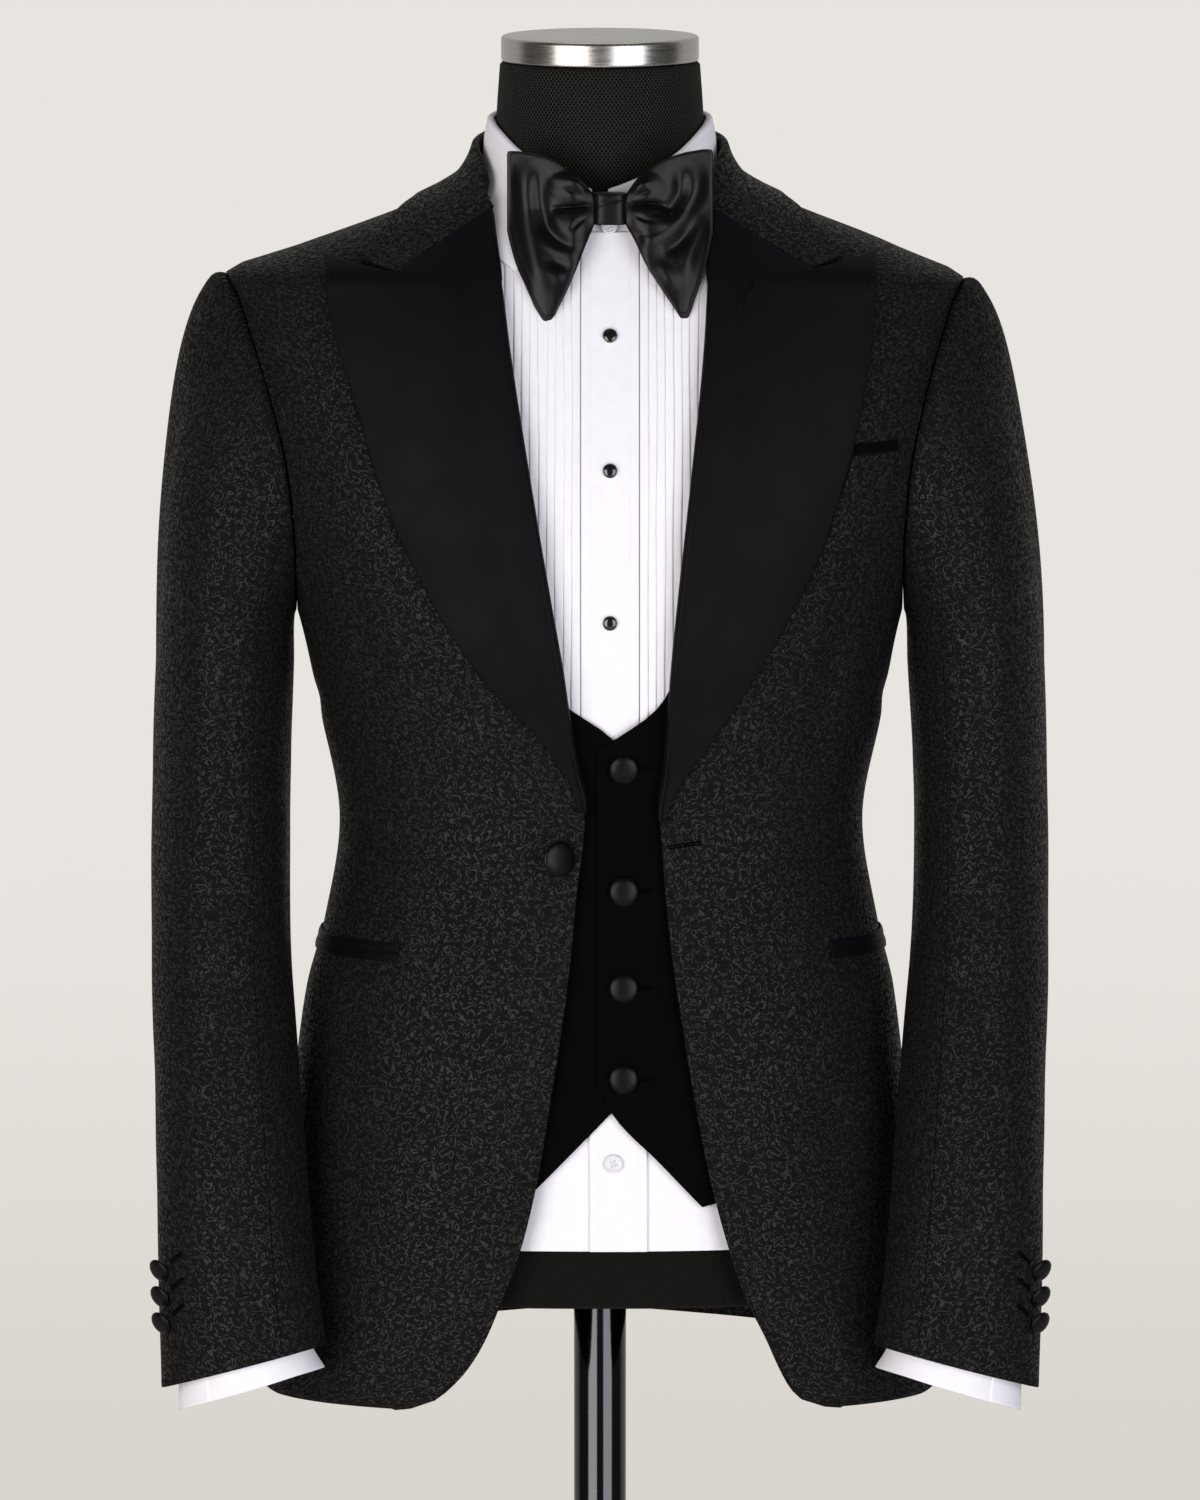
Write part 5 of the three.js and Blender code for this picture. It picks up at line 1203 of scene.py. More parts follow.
def cornered(rows, key, value, corner):
    """A smooth curve on each side of a corner, which stays sharp"""
    rows = sorted(rows, key=lambda row: row[key])
    before = curve_through([row for row in rows if row[key] <= corner], key, value)
    after = curve_through([row for row in rows if row[key] >= corner], key, value)
    return lambda places: np.where(np.asarray(places) < corner, before(places), after(places))


def between(corners, grid, rim=1.2):
    """Places through every corner, closer together at both ends"""
    parts = [np.linspace(a, b, max(2, int(abs(b - a) / grid) + 1))[:-1] for a, b in zip(corners, corners[1:])]
    places = np.concatenate(parts + [[corners[-1]]])
    way = np.sign(places[-1] - places[0])
    near = np.array([0.1, 0.3, 0.6, 1.0]) * rim * way
    return np.concatenate([places[:1], places[0] + near, places[1:-1], places[-1] - near[::-1], places[-1:]])


def waistcoat_side(z):
    return np.maximum(0.003, armhole_share(WAISTCOAT_HOLE, z))


def waistcoat_front_grid(name):
    side, shape = SIDES[name], WAISTCOAT_FRONTS[name]
    inner = cornered(shape["neckline"], "z", "x", shape["neckline"][1]["z"])
    hem_z = cornered(shape["hem"], "x", "z", shape["corners"][3])
    level = 900.0

    def ends(z):
        return form.angle_of_x(inner(z), z), form.angle_of_share(-waistcoat_side(z) - SEAM_SHARE, z)

    # each column's share is read off at its own place on the hem, so that the corners fall where they should
    columns = between(shape["corners"], 4.5)
    start, outer = ends(hem_z(columns))
    shares = (form.angle_of_x(columns, hem_z(columns)) - start) / (outer - start)
    shares = np.concatenate([shares[:-4], mix(shares[-5], 1, spaced(40, 4.5)[5:])])
    hem = np.full_like(shares, 850.0)
    for _ in range(12):
        start, outer = ends(hem)
        hem = hem_z(form.point(mix(start, outer, shares), hem)[..., 0])
    low = np.linspace(0, level, 24)[:-1]
    low = np.concatenate([[0, 1, 3, 6, 10], low[1:]])
    turns = [row["z"] for row in shape["neckline"] if 1000 < row["z"] < 1300]
    rows = np.concatenate([low, between([level] + turns + [1389], 5.0)[4:]])
    rows = np.unique(np.round(rows, 3))
    s, row = np.meshgrid(shares, rows)
    z = np.where(row >= level, row, mix(hem[None], level, row / level))
    start, outer = ends(z)
    angle = mix(start, outer, s)
    out = WAISTCOAT["low"] + WAISTCOAT["thickness"] / 2
    if name == "left":  # the overlap stands off, and falls back to the form beyond it
        out = out + WAISTCOAT["lift"] * (1 - smooth(26, 44, form.point(angle, z)[..., 0]))
    base = form.point(angle, z) * [side, 1, 1]
    ease = creases(base, WAISTCOAT_CREASES) * (1 - smooth(30, 44, np.abs(base[..., 0])) * 0.2)
    return on_form(side, angle, z, out + np.minimum(ease, 0.5))


for name in SIDES:
    cloth(f"waistcoat_front_{name}", waistcoat_front_grid(name), WAISTCOAT["thickness"], WOOL)


def waistcoat_back_grid():
    s, z = np.meshgrid(mix(-1, 1, spaced(440, GRID)), spaced(1392 - 852, GRID, start=852, end=1392))
    outer = form.angle_of_share(waistcoat_side(z) + SEAM_SHARE, z)
    angle = mix(outer, np.pi / 2, 1 - np.abs(s))
    return on_form(1, np.where(s < 0, angle, np.pi - angle), z, 5.8 + WAISTCOAT["thickness"] / 2)


cloth("waistcoat_back", waistcoat_back_grid(), WAISTCOAT["thickness"], WOOL)
OVERLAP_TOP = WAISTCOAT["low"] + WAISTCOAT["thickness"] + WAISTCOAT["lift"]
for i, z in enumerate(WAISTCOAT_BUTTONS["z"]):
    spot, facing = point_and_normal(lambda dx, dy: front_of_form(
        1, np.array(WAISTCOAT_BUTTONS["x"] + dx), np.array(z + dy), OVERLAP_TOP + 0.3))
    button = dome(WAISTCOAT_BUTTONS["radius"], WAISTCOAT_BUTTONS["height"])
    turned(f"waistcoat_button_{i + 1}", button, 48, BUTTON_SATIN, spot, outwards(facing, spot))

# %% [markdown]
# ## Shirt
#
# The shirt's body is plain poplin. What shows is its bib of narrow knife pleats, the placket with its
# studs, the turned-down collar and the cuffs. A pleat is a fold that lies to one side, so across the
# bib the cloth climbs slowly and drops at each fold: that is a saw-tooth section, swept up the chest.

# %% Shirt body
SHIRT_HOLE = {"low": 1165, "high": 1361, "share": 0.28}
SHIRT_HEM, SHIRT_TOP = 771, 1388
NECK_SEAM = curve_through(
    table("angle z", [(-90, 1392), (-45, 1401), (0, 1412), (45, 1412), (90, 1412)]), "angle", "z")
SHIRT_ROWS = np.concatenate([spaced(SHIRT_TOP - SHIRT_HEM, 6.5, rim=1, start=SHIRT_HEM, end=SHIRT_TOP)[:-5],
                             SHIRT_TOP + np.array([0, 0.2, 0.4, 0.6, 0.8, 0.9, 0.96, 1])])


def shirt_side(z):
    return np.maximum(0.003, armhole_share(SHIRT_HOLE, np.minimum(z, SHIRT_TOP)))


def shirt_height(row, angle):
    """Above the top level the rows close up to the neck seam"""
    return np.where(row > SHIRT_TOP, mix(SHIRT_TOP, NECK_SEAM(np.degrees(angle)) - 0.4, row - SHIRT_TOP), row)


middle = float(form.angle_of_x(GARMENT_CENTRE, 1100.0))
for name, side in SIDES.items():
    s, row = np.meshgrid(spaced(230, 6.5), SHIRT_ROWS)
    level = np.minimum(row, SHIRT_TOP)
    outer = form.angle_of_share(-shirt_side(level) - SEAM_SHARE, level)
    angle = mix((middle if side > 0 else -np.pi - middle) + 0.002, outer, s)
    cloth(f"shirt_front_{name}", on_form(side, angle, shirt_height(row, angle), 1.0), 1.0, POPLIN)
s, row = np.meshgrid(mix(-1, 1, spaced(460, 6.5)), SHIRT_ROWS)
level = np.minimum(row, SHIRT_TOP)
angle = mix(form.angle_of_share(shirt_side(level) + SEAM_SHARE, level), np.pi / 2, 1 - np.abs(s))
cloth("shirt_back", on_form(1, np.where(s < 0, angle, np.pi - angle), shirt_height(row, angle), 1.0), 1.0, POPLIN)

# %% Pleated bib and placket
PLACKET = {"half_width": 17.4, "low": 2.2, "high": 3.5}
BIB = {"low": 2.7, "high": 3.4, "pleat": 0.8, "count": 11, "spacing": 5}
PLEAT_SHARE = np.array([0.0, 0.06, 0.2, 0.45, 0.7, 0.82, 0.9, 0.95, 0.98])
PLEAT_RISE = np.array([-0.28, -0.1, 0.12, 0.45, 0.8, 0.98, 1.0, 0.85, 0.4])

for name, side in SIDES.items():
    rng = np.random.default_rng(40 + side)
    start = PLACKET["half_width"] + side * GARMENT_CENTRE + 0.4
    columns = (np.arange(BIB["count"])[:, None] + PLEAT_SHARE).ravel()
    rise = np.tile(PLEAT_RISE, BIB["count"])
    heights = spaced(1384 - 1046, 5.0, start=1046, end=1384)
    s, row = np.meshgrid(np.append(columns, [BIB["count"]]), heights)
    rise = np.broadcast_to(np.append(rise, [0.0]), s.shape)
    pleat = np.floor(np.minimum(s, BIB["count"] - 0.01)).astype(int)
    phase, size = rng.uniform(0, 6.3, BIB["count"]), rng.uniform(0.75, 1.15, BIB["count"])
    drift = 0.34 * np.sin(row / 47 + phase[pleat]) * np.minimum(1, s) + 0.2 * np.sin(row / 19 + 2 * phase[pleat])
    depth = size[pleat] * (1 + 0.35 * (1 - smooth(1060, 1180, row)))
    z = row - 16 * np.clip((row - 1347) / 37, 0, 1) * smooth(4, 9, s)
    x = start + s * BIB["spacing"] + drift * smooth(0, 1, s)
    thickness = 0.7
    out = BIB["low"] + thickness / 2 + 0.15 + BIB["pleat"] * 0.95 * np.clip(rise, -0.2, 1) * depth
    cloth(f"bib_{name}", on_form(side, form.angle_of_x(x, z), z, out), thickness, POPLIN)


def placket_middle(z):
    """The placket hangs straight, but its low end is drawn 5 mm to the wearer's left."""
    return GARMENT_CENTRE + 5.2 * (1 - smooth(800, 1040, z))


PLACKET_TOP = 1386
s, z = np.meshgrid(mix(-1, 1, spaced(2 * PLACKET["half_width"], 2.0, rim=0.9)),
                   spaced(PLACKET_TOP - SHIRT_HEM, 5.0, start=SHIRT_HEM, end=PLACKET_TOP))
soft = 0.12 * np.exp(-((np.abs(s) - 0.68) / 0.05) ** 2)
placket_grid = front_of_form(1, placket_middle(z) + s * PLACKET["half_width"], z, 2.85 - soft)
cloth("placket", placket_grid, 1.3, POPLIN)


def on_placket(x, z, out=0.0):
    return lambda dx, dy: front_of_form(1, np.array(x + dx), np.array(z + dy), PLACKET["high"] + 0.05 + out)


# %% Studs and shirt buttons
STUDS = {"radius": 4.3, "height": 2.6, "z": (1325, 1246, 1155)}
for i, z in enumerate(STUDS["z"]):
    spot, facing = point_and_normal(on_placket(GARMENT_CENTRE, z))
    facing = outwards(facing, spot)
    rim = rounded_profile([(0, 0), (4.5, 0), (4.5, 1.5), (4.2, 1.8), (4.1, 1.2), (0, 1.2)], 0.15)
    turned(f"stud_rim_{i + 1}", rim, 40, SILVER, spot, facing, replaces=(), sharp=50)
    face = [(0, 0.9), (4.1, 0.9), (4.1, 1.6), (3.8, 2.0), (2.9, 2.35), (1.5, 2.55), (0, 2.6)]
    turned(f"stud_{i + 1}", face, 36, ENAMEL, spot, facing)


def four_hole_button(name, radius, height, place, replaces):
    """A pearl button: a dish with a raised rim and four holes"""
    spot, facing = point_and_normal(place)
    facing = outwards(facing, spot)
    rings, segments = 26, 48
    r = np.concatenate([np.linspace(0.02, 0.62, 17), np.linspace(0.66, 1, rings - 17)]) * radius
    a = np.arange(segments) * 2 * np.pi / segments
    rr, aa = np.meshgrid(r, a, indexing="ij")
    x, y = rr * np.cos(aa), rr * np.sin(aa)
    top = height * (0.72 + 0.28 * np.exp(-(((rr / radius - 0.84) / 0.13) ** 2)))
    top = np.where(rr > radius * 0.93, top * np.sqrt(np.clip(1 - ((rr / radius - 0.93) / 0.075) ** 2, 0, 1)), top)
    for hx, hy in ((1, 1), (1, -1), (-1, 1), (-1, -1)):
        away = np.hypot(x - hx * radius * 0.2, y - hy * radius * 0.2)
        top = top - height * 0.66 * np.exp(-((away / (radius * 0.115)) ** 4))
    vertices = np.stack([x, y, top], -1).reshape(-1, 3)
    vertices = np.concatenate([vertices, [[0, 0, height * 0.72], [0, 0, 0]]])
    outer = (rings - 1) * segments
    floor = np.stack([radius * 0.93 * np.cos(a), radius * 0.93 * np.sin(a), a * 0], -1)
    base = len(vertices)
    vertices = np.concatenate([vertices, floor])
    faces = []
    for i in range(segments):
        k = (i + 1) % segments
        faces.append((rings * segments, i, k))
        for j in range(rings - 1):
            faces.append((j * segments + i, (j + 1) * segments + i, (j + 1) * segments + k, j * segments + k))
        faces.append((outer + i, base + i, base + k, outer + k))
        faces.append((rings * segments + 1, base + k, base + i))
    turned_at = placed(vertices, spot, facing, 0.3)
    return add_piece(name, turned_at, faces, PEARL, replaces)


four_hole_button("shirt_button_low", 5.8, 2.4, on_placket(8, 825), ("shirt_button_low",))
four_hole_button("shirt_button_neck", 5.2, 2.2, on_placket(5.5, 1389.5, 0.2), ())

# %% [markdown]
# ## Shirt collar, sleeves and cuffs
#
# The collar is a stand round the neck and a fall that turns down over it. The fall's grid begins at the
# top of the stand, goes over in a half circle and comes down outside, so its top is a real fold.

# %% Shirt collar
COLLAR_TOP = table("angle z", [(-90, 1409), (-70, 1417), (-45, 1431), (-20, 1444), (0, 1449), (90, 1453)])
FALL_EDGE = table("fold_angle edge_angle z", [
    (-86, -74.5, 1362), (-68, -63, 1374), (-45, -45, 1391), (-20, -20, 1404), (0, 0, 1408), (90, 90, 1411),
])


def build_shirt_collar():
    top = curve_through(COLLAR_TOP, "angle", "z")
    edge_angle, edge_z = (curve_through(FALL_EDGE, "fold_angle", key) for key in ("edge_angle", "z"))
    share = mix(-1, 1, spaced(440, 4.0))
    side = np.where(share < 0, -1.0, 1.0)

    def ring(angle, z, out):
        angle, z = np.radians(np.broadcast_to(angle, share.shape)), np.broadcast_to(z, share.shape)
        points = form.point(angle, z) + form.normal(angle, z) * np.broadcast_to(out, share.shape)[..., None]
        return points * np.stack([side, side * 0 + 1, side * 0 + 1], -1)

    angle = mix(90, -89, np.abs(share))
    stand = [ring(angle, mix(NECK_SEAM(angle) + 0.4, top(angle) - 2, t), 1.05) for t in spaced(36, 3.0, rim=0.8)]
    cloth("shirt_collar_stand", np.array(stand), 0.9, POPLIN)

    angle = mix(90, -86, np.abs(share))
    rows = []
    for a in np.linspace(np.pi, 0, 9)[:-1]:  # over the fold
        rows.append(ring(angle, top(angle) + 1.2 * np.sin(a), 3.2 + 1.7 * np.cos(a)))
    for t in np.concatenate([np.linspace(0, 0.93, 15), [0.96, 0.98, 0.993, 1]]):
        edge = edge_angle(angle)
        belly = 0.8 * np.sin(np.pi * t) + 0.5 * np.sin(angle / 9) * np.sin(np.pi * t)
        rows.append(ring(mix(angle, edge, t), mix(top(angle), edge_z(angle), t), 4.9 + smooth(0, 0.3, t) + belly))
    return cloth("shirt_collar_fall", np.array(rows), 1.3, POPLIN)


build_shirt_collar()

# %% Shirt sleeves and cuffs
SHIRT_CUFF = {"inner": 175, "outer": 259.5, "y": -101, "half_y": 34.5, "top": 742, "reach": 14}
CUFF_LAP_START = 26
BELOW_SLEEVE = {"from": 716, "to": 688, "inner": -12.5, "outer": -4}  # out of the sleeve it hangs inwards


def cuff_ring(side, angle, z, out):
    hang = 1 - smooth(BELOW_SLEEVE["to"], BELOW_SLEEVE["from"], z)
    inner = SHIRT_CUFF["inner"] + BELOW_SLEEVE["inner"] * hang
    outer = SHIRT_CUFF["outer"] + BELOW_SLEEVE["outer"] * hang
    x = (inner + outer) / 2 + ((outer - inner) / 2 + out) * np.cos(angle)
    y = SHIRT_CUFF["y"] - 0.06 * (SHIRT_CUFF["top"] - z) - (SHIRT_CUFF["half_y"] + out) * np.sin(angle)
    return np.stack([side * x, y, z], -1)


for name, side in SIDES.items():
    down = np.append(np.linspace(0.75, 1.9, 50), [1.925, 1.95])
    angle, down = np.meshgrid(np.arange(40) * 2 * np.pi / 40, down)
    hem = sleeve_point(angle, 2.0)[..., 2]
    end = 1 + (BICEPS - SHIRT_CUFF["top"] - 1) / (BICEPS - hem)
    t = np.minimum(down, end)
    points = sleeve_point(angle, t) - sleeve_normal(angle, t) * 4.5
    drawn = cuff_ring(1, angle, np.full_like(angle, SHIRT_CUFF["top"] + 0.9), -0.7)
    points = mix(points, drawn, smooth(1.86, 1.95, down)[..., None])
    points[..., 0] *= side
    facing = lambda p, side=side: (p - np.array([side * 226, -40, 0])) * [1, 1, 0]
    cloth(f"shirt_sleeve_{name}", settle(points), 0.9, POPLIN, ring=True, facing=facing)

    # a barrel cuff: the end laps over the start by 28 degrees, which shows as a step near the outer side
    lap = np.radians(spaced(260, 3.0, start=CUFF_LAP_START, end=CUFF_LAP_START + 388))
    height = np.concatenate([[0, 0.004, 0.012, 0.03], np.linspace(0.06, 0.94, 16), [0.97, 0.988, 0.996, 1]])
    angle, t = np.meshgrid(lap, height)
    bottom = (CUFF_PLANE["middle"] - SHIRT_CUFF["reach"] - CUFF_PLANE["outer_drop"] * np.cos(angle)
              + CUFF_PLANE["back_drop"] * np.sin(angle))
    rest = np.degrees(angle) - CUFF_LAP_START
    out = -0.65 - 1.35 * (1 - smooth(4, 40, rest)) + 0.35 * smooth(340, 388, rest)
    middle_of_cuff = np.array([side * 212, SHIRT_CUFF["y"], 0])
    cloth(f"shirt_cuff_{name}", cuff_ring(side, angle, mix(SHIRT_CUFF["top"], bottom, t), out), 1.2, POPLIN,
          facing=lambda p, c=middle_of_cuff: (p - c) * [1, 1, 0])

# %% [markdown]
# ## Bow tie
#
# A self-tied butterfly bow is one silk band: each wing is a loop in front and a flat end behind, and
# the knot gathers them. The silk is soft, so deep folds fan out from the knot, and two small puffs lie
# above and below its middle. Cloth simulation could gather it, but not into the folds that this one
# has, so they are drawn as ridges and troughs on the leaf. Every wing has a front and a back leaf.

# %% Bow wings
BOW = {"z": 1402, "front": -89, "knot_half": 10.2, "knot_middle": -81, "knot_depth": 9.8}
WINGS = {
    "right": table("x top bottom", [
        (9.6, 8.2, -9.4), (15, 14.6, -22.5), (21, 21, -38), (29, 27, -55.5), (35, 29.8, -65), (38, 30.9, -65.6),
        (43, 32, -59), (49, 33, -46), (55, 33.5, -32), (59.2, 33.3, -17), (60, 31.5, -13)]),
    "left": table("x top bottom", [
        (9.6, 8.2, -9.4), (15, 16.5, -19), (21, 23, -32), (29, 28, -45), (38, 31.5, -58.5), (42, 32.6, -64),
        (45, 33.3, -64), (50, 34, -52), (55, 34.6, -37), (59.2, 34.2, -18), (60, 32.5, -14)]),
}
# height towards the viewer, width, end fade, then places out from the knot and up
WING_FOLDS = {
    "right": [
        (3.0, 6.0, 0.25, (52, 33), (51.5, 14), (49.5, -12), (44, -34), (39, -55)),  # the long outer ridge
        (-3.2, 5.0, 0.3, (42, 30), (42, 10), (39, -8), (30, -21), (18, -30)),  # the valley inside it
        (-2.2, 1.7, 0.3, (9, 2.4), (23, 1.2), (37, 0)),  # between the two puffs
        (1.9, 4.2, 0.45, (48, -12), (36, -21.5), (25, -27), (17, -29)),
        (-1.4, 3.6, 0.45, (40, -27), (31, -33), (22, -36)),
        (1.3, 3.8, 0.45, (42, -35), (33, -40), (26, -43)),
        (1.2, 2.2, 0.45, (13, 9), (20, 16), (27, 18.5)),
        (-1.1, 1.5, 0.45, (14, 6), (22, 11), (29, 13)),
        (-1.1, 1.6, 0.45, (13, -4), (20, -9), (25, -15)),
    ],
    "left": [
        (3.0, 5.6, 0.25, (51, 34), (52, 15), (46.5, 1), (37, -10.5), (24, -18.5), (17, -20)),
        (-3.0, 4.6, 0.3, (41, 31), (42.5, 12), (37, 1), (33, -4)),
        (-2.2, 1.7, 0.3, (9, 2.4), (23, 3.2), (35, 2.2)),
        (2.4, 5.0, 0.35, (57, -2), (52, -16), (47, -30), (44.5, -48)),
        (-2.4, 4.0, 0.4, (30, -25), (37, -24), (46, -17), (54, -6)),
        (1.5, 4.0, 0.45, (27, -32), (35, -39), (40, -50)),
        (1.3, 2.2, 0.45, (13, 9), (19, 15), (26, 17)),
        (-1.1, 1.5, 0.45, (13, 6), (20, 10), (27, 11)),
        (-1.1, 1.6, 0.45, (14, -3), (21, -6), (30, -8)),
    ],
}
# beside the knot the gathered silk stands up in two puffs: their middle, half width, half height and rise
WING_PUFFS = {
    "right": table("x z wide high rise", [
        (21, 13.5, 17, 11, 2.5), (22, -10, 16, 11.5, 2.3), (30, 17, 8, 5, 0.8)]),
    "left": table("x z wide high rise", [
        (19, 13, 15, 10.5, 2.5), (21, -6, 16, 9.5, 2.4), (28, -8, 7, 5, 0.8)]),
}
WING_LEAN, WING_REACH = 0.13, 0.975


def wing_leaf(name, behind, spread):
    """A leaf of the wing: how far it lies behind the front one, and how much wider it is"""
    side, rows = SIDES[name], WINGS[name]
    top, bottom = curve_through(rows, "x", "top"), curve_through(rows, "x", "bottom")
    lines = [(resampled(places, 4 * len(places)), depth, width, fade)
             for depth, width, fade, *places in WING_FOLDS[name]]
    across = spaced(50, 0.8, rim=1.0, start=rows[0]["x"], end=60)
    up = np.concatenate([[0, 0.002, 0.006, 0.012], np.linspace(0.02, 0.98, 100), [0.988, 0.994, 0.998, 1]])
    x, t = np.meshgrid(across, up)
    z = mix(bottom(x), top(x), t)
    relief = creases(np.stack([x, z], -1), lines)
    for puff in WING_PUFFS[name]:
        inside = 1 - ((x - puff["x"]) / puff["wide"]) ** 2 - ((z - puff["z"]) / puff["high"]) ** 2
        relief = relief + puff["rise"] * np.clip(inside, 0, 1) ** 1.15
    out = x / 60
    swept = 12 * out**2 * (1 - 0.5 * smooth(0, 60, -z))
    y = BOW["front"] - np.maximum(0, -z) * WING_LEAN + swept + 3.5 * (1 - smooth(0.16, 0.4, out))
    inside = smooth(0, 0.07, t) * smooth(0, 0.07, 1 - t) * smooth(9.6, 17, x) * (1 - smooth(56, 60, x))
    pillow = 1.9 * np.clip(np.sin(np.pi * t), 0, 1) ** 0.5 * (1 - 0.4 * smooth(45, 60, x))
    if behind:
        y = y + behind + 0.25 * relief * inside
        x, z = 10 + (x - 10) * spread, z * spread - 0.8
    else:
        y = y + 1.6 - pillow - relief * (0.35 + 0.65 * inside) * 0.8
    return np.stack([GARMENT_CENTRE + side * x, y, BOW["z"] + np.where(z < 0, z * WING_REACH, z)], -1)


for name in SIDES:
    front = lambda p: p * 0 + [0, -1, 0]
    cloth(f"bow_wing_{name}", wing_leaf(name, 0, 1), 1.1, SILK, facing=front)
    cloth(f"bow_leaf_{name}", wing_leaf(name, 4.6, 1.04), 1.1, SILK, replaces=(), facing=front)

# %% Knot and band
def build_knot():
    rows, columns = 40, 56
    angle, level = np.meshgrid(np.arange(columns) * 2 * np.pi / columns, np.linspace(-1, 1, rows))
    c, s = np.cos(angle), np.sin(angle)
    size = 0.93 + 0.07 * level**2 - 0.2 * np.clip(np.abs(level) - 0.86, 0, 1) * 7.1 * np.abs(level)
    x = BOW["knot_half"] * size * signed_power(c, 0.6)
    folds = 1.6 * (1 - level**2) - 0.5 * np.exp(-((level - 0.35 - 0.02 * x) / 0.12) ** 2)
    y = BOW["knot_middle"] + (BOW["knot_depth"] - 1.2) * size * signed_power(s, 0.6) - folds * (s < 0)
    grid = np.stack([GARMENT_CENTRE + x, y, BOW["z"] + 9.5 * np.sin(level * np.pi / 2)], -1)
    vertices = np.concatenate([grid.reshape(-1, 3), [[GARMENT_CENTRE, BOW["knot_middle"], BOW["z"] - 9.6],
                                                     [GARMENT_CENTRE, BOW["knot_middle"], BOW["z"] + 9.6]]])
    faces, uvs = [], []
    for i in range(columns):
        k = (i + 1) % columns
        faces.append((k, i, rows * columns))
        faces.append(((rows - 1) * columns + i, (rows - 1) * columns + k, rows * columns + 1))
        uvs += [(i, 0), (i + 1, 0), (i, 2)] * 2
        for j in range(rows - 1):
            faces.append((j * columns + i, j * columns + k, (j + 1) * columns + k, (j + 1) * columns + i))
            uvs += [(i * 1.1 + a, j * 0.5 + b) for a, b in ((0, 0), (1.1, 0), (1.1, 0.5), (0, 0.5))]
    return add_piece("bow_knot", vertices, faces, SILK, ("bow_knot",), np.array(uvs, float))


build_knot()
angle, t = np.meshgrid(np.arange(120) * 2 * np.pi / 120, spaced(12, 1.5, rim=0.5))
height = BOW["z"] + 26 * smooth(-1, 0.2, np.sin(angle)) - 6 + 12 * t
band = form.point(angle, height) + form.normal(angle, height) * 3.7
cloth("bow_band", band, 0.9, SILK, ring=True)

# %% [markdown]
# ## Stitches
#
# Stitches repeat along a line, so Geometry Nodes lay them: a line is resampled at the stitch spacing,
# and a small capsule is set on each point, turned to an arrow kept with the point. Along a topstitched
# edge the arrow runs with the line. In a buttonhole it runs across it, out from the slit.

# %% The stitch node tree
def build_stitch_tree():
    tree = bpy.data.node_groups.new("stitches along a line", "GeometryNodeTree")
    for name, kind in (("Line", "Geometry"), ("Spacing", "Float"), ("Length", "Float"), ("Thickness", "Float"),
                       ("Thread", "Material")):
        tree.interface.new_socket(name=name, in_out="INPUT", socket_type="NodeSocket" + kind)
    tree.interface.new_socket(name="Stitches", in_out="OUTPUT", socket_type="NodeSocketGeometry")
    given = add_node(tree, "NodeGroupInput").outputs
    curve = add_node(tree, "GeometryNodeMeshToCurve", {}, {"Mesh": given["Line"]})
    spread = add_node(tree, "GeometryNodeResampleCurve", {"mode": "LENGTH"}, {
        "Curve": curve.outputs[0], "Length": given["Spacing"]})
    capsule = add_node(tree, "GeometryNodeMeshUVSphere", {}, {"Segments": 6, "Rings": 5, "Radius": 0.5})
    size = add_node(tree, "ShaderNodeCombineXYZ", {}, {
        0: given["Length"], 1: given["Thickness"], 2: given["Thickness"]})
    shaped = add_node(tree, "GeometryNodeTransform", {}, {
        "Geometry": capsule.outputs[0], "Scale": size.outputs[0]})
    arrow = add_node(tree, "GeometryNodeInputNamedAttribute", {"data_type": "FLOAT_VECTOR"}, {"Name": "arrow"})
    turn = add_node(tree, "FunctionNodeAlignRotationToVector", {"axis": "X"}, {"Vector": arrow.outputs[0]})
    laid = add_node(tree, "GeometryNodeInstanceOnPoints", {}, {
        "Points": spread.outputs[0], "Instance": shaped.outputs[0], "Rotation": turn.outputs[0]})
    real = add_node(tree, "GeometryNodeRealizeInstances", {}, {0: laid.outputs[0]})
    smoothed = add_node(tree, "GeometryNodeSetShadeSmooth", {}, {0: real.outputs[0]})
    coloured = add_node(tree, "GeometryNodeSetMaterial", {}, {
        "Geometry": smoothed.outputs[0], "Material": given["Thread"]})
    add_node(tree, "NodeGroupOutput", {}, {"Stitches": coloured.outputs[0]})
    return tree


STITCHES = build_stitch_tree()


def sew(name, lines, arrows, spacing, length, thickness, thread):
    """Lays stitches along lines, which are arrays of points in millimetres, each with its own arrows"""
    vertices, edges, kept = [], [], []
    for line, arrow in zip(lines, arrows):
        first = len(vertices)
        vertices += (np.asarray(line) * MM).tolist()
        kept += np.asarray(arrow).tolist()
        edges += [(first + i, first + i + 1) for i in range(len(line) - 1)]
    mesh = bpy.data.meshes.new(name + "_line")
    mesh.from_pydata(vertices, edges, [])
    mesh.attributes.new("arrow", "FLOAT_VECTOR", "POINT").data.foreach_set("vector", np.asarray(kept).ravel())
    guide = bpy.data.objects.new(name + "_line", mesh)
    bpy.context.scene.collection.objects.link(guide)
    modifier = guide.modifiers.new("stitches", "NODES")
    modifier.node_group = STITCHES
    sockets = {item.name: item.identifier for item in STITCHES.interface.items_tree if item.in_out == "INPUT"}
    for key, value in (("Spacing", spacing * MM), ("Length", length * MM), ("Thickness", thickness * MM),
                       ("Thread", thread)):
        modifier[sockets[key]] = value
    sewn = bpy.data.meshes.new_from_object(guide.evaluated_get(bpy.context.evaluated_depsgraph_get()))
    bpy.data.objects.remove(guide)
    sewn.name = name
    piece = bpy.data.objects.new(name, sewn)
    bpy.context.scene.collection.objects.link(piece)
    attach(piece, "root")
    print(name, len(sewn.polygons), "faces")
    return piece


def along_line(points):
    return unit(np.gradient(points, axis=0))


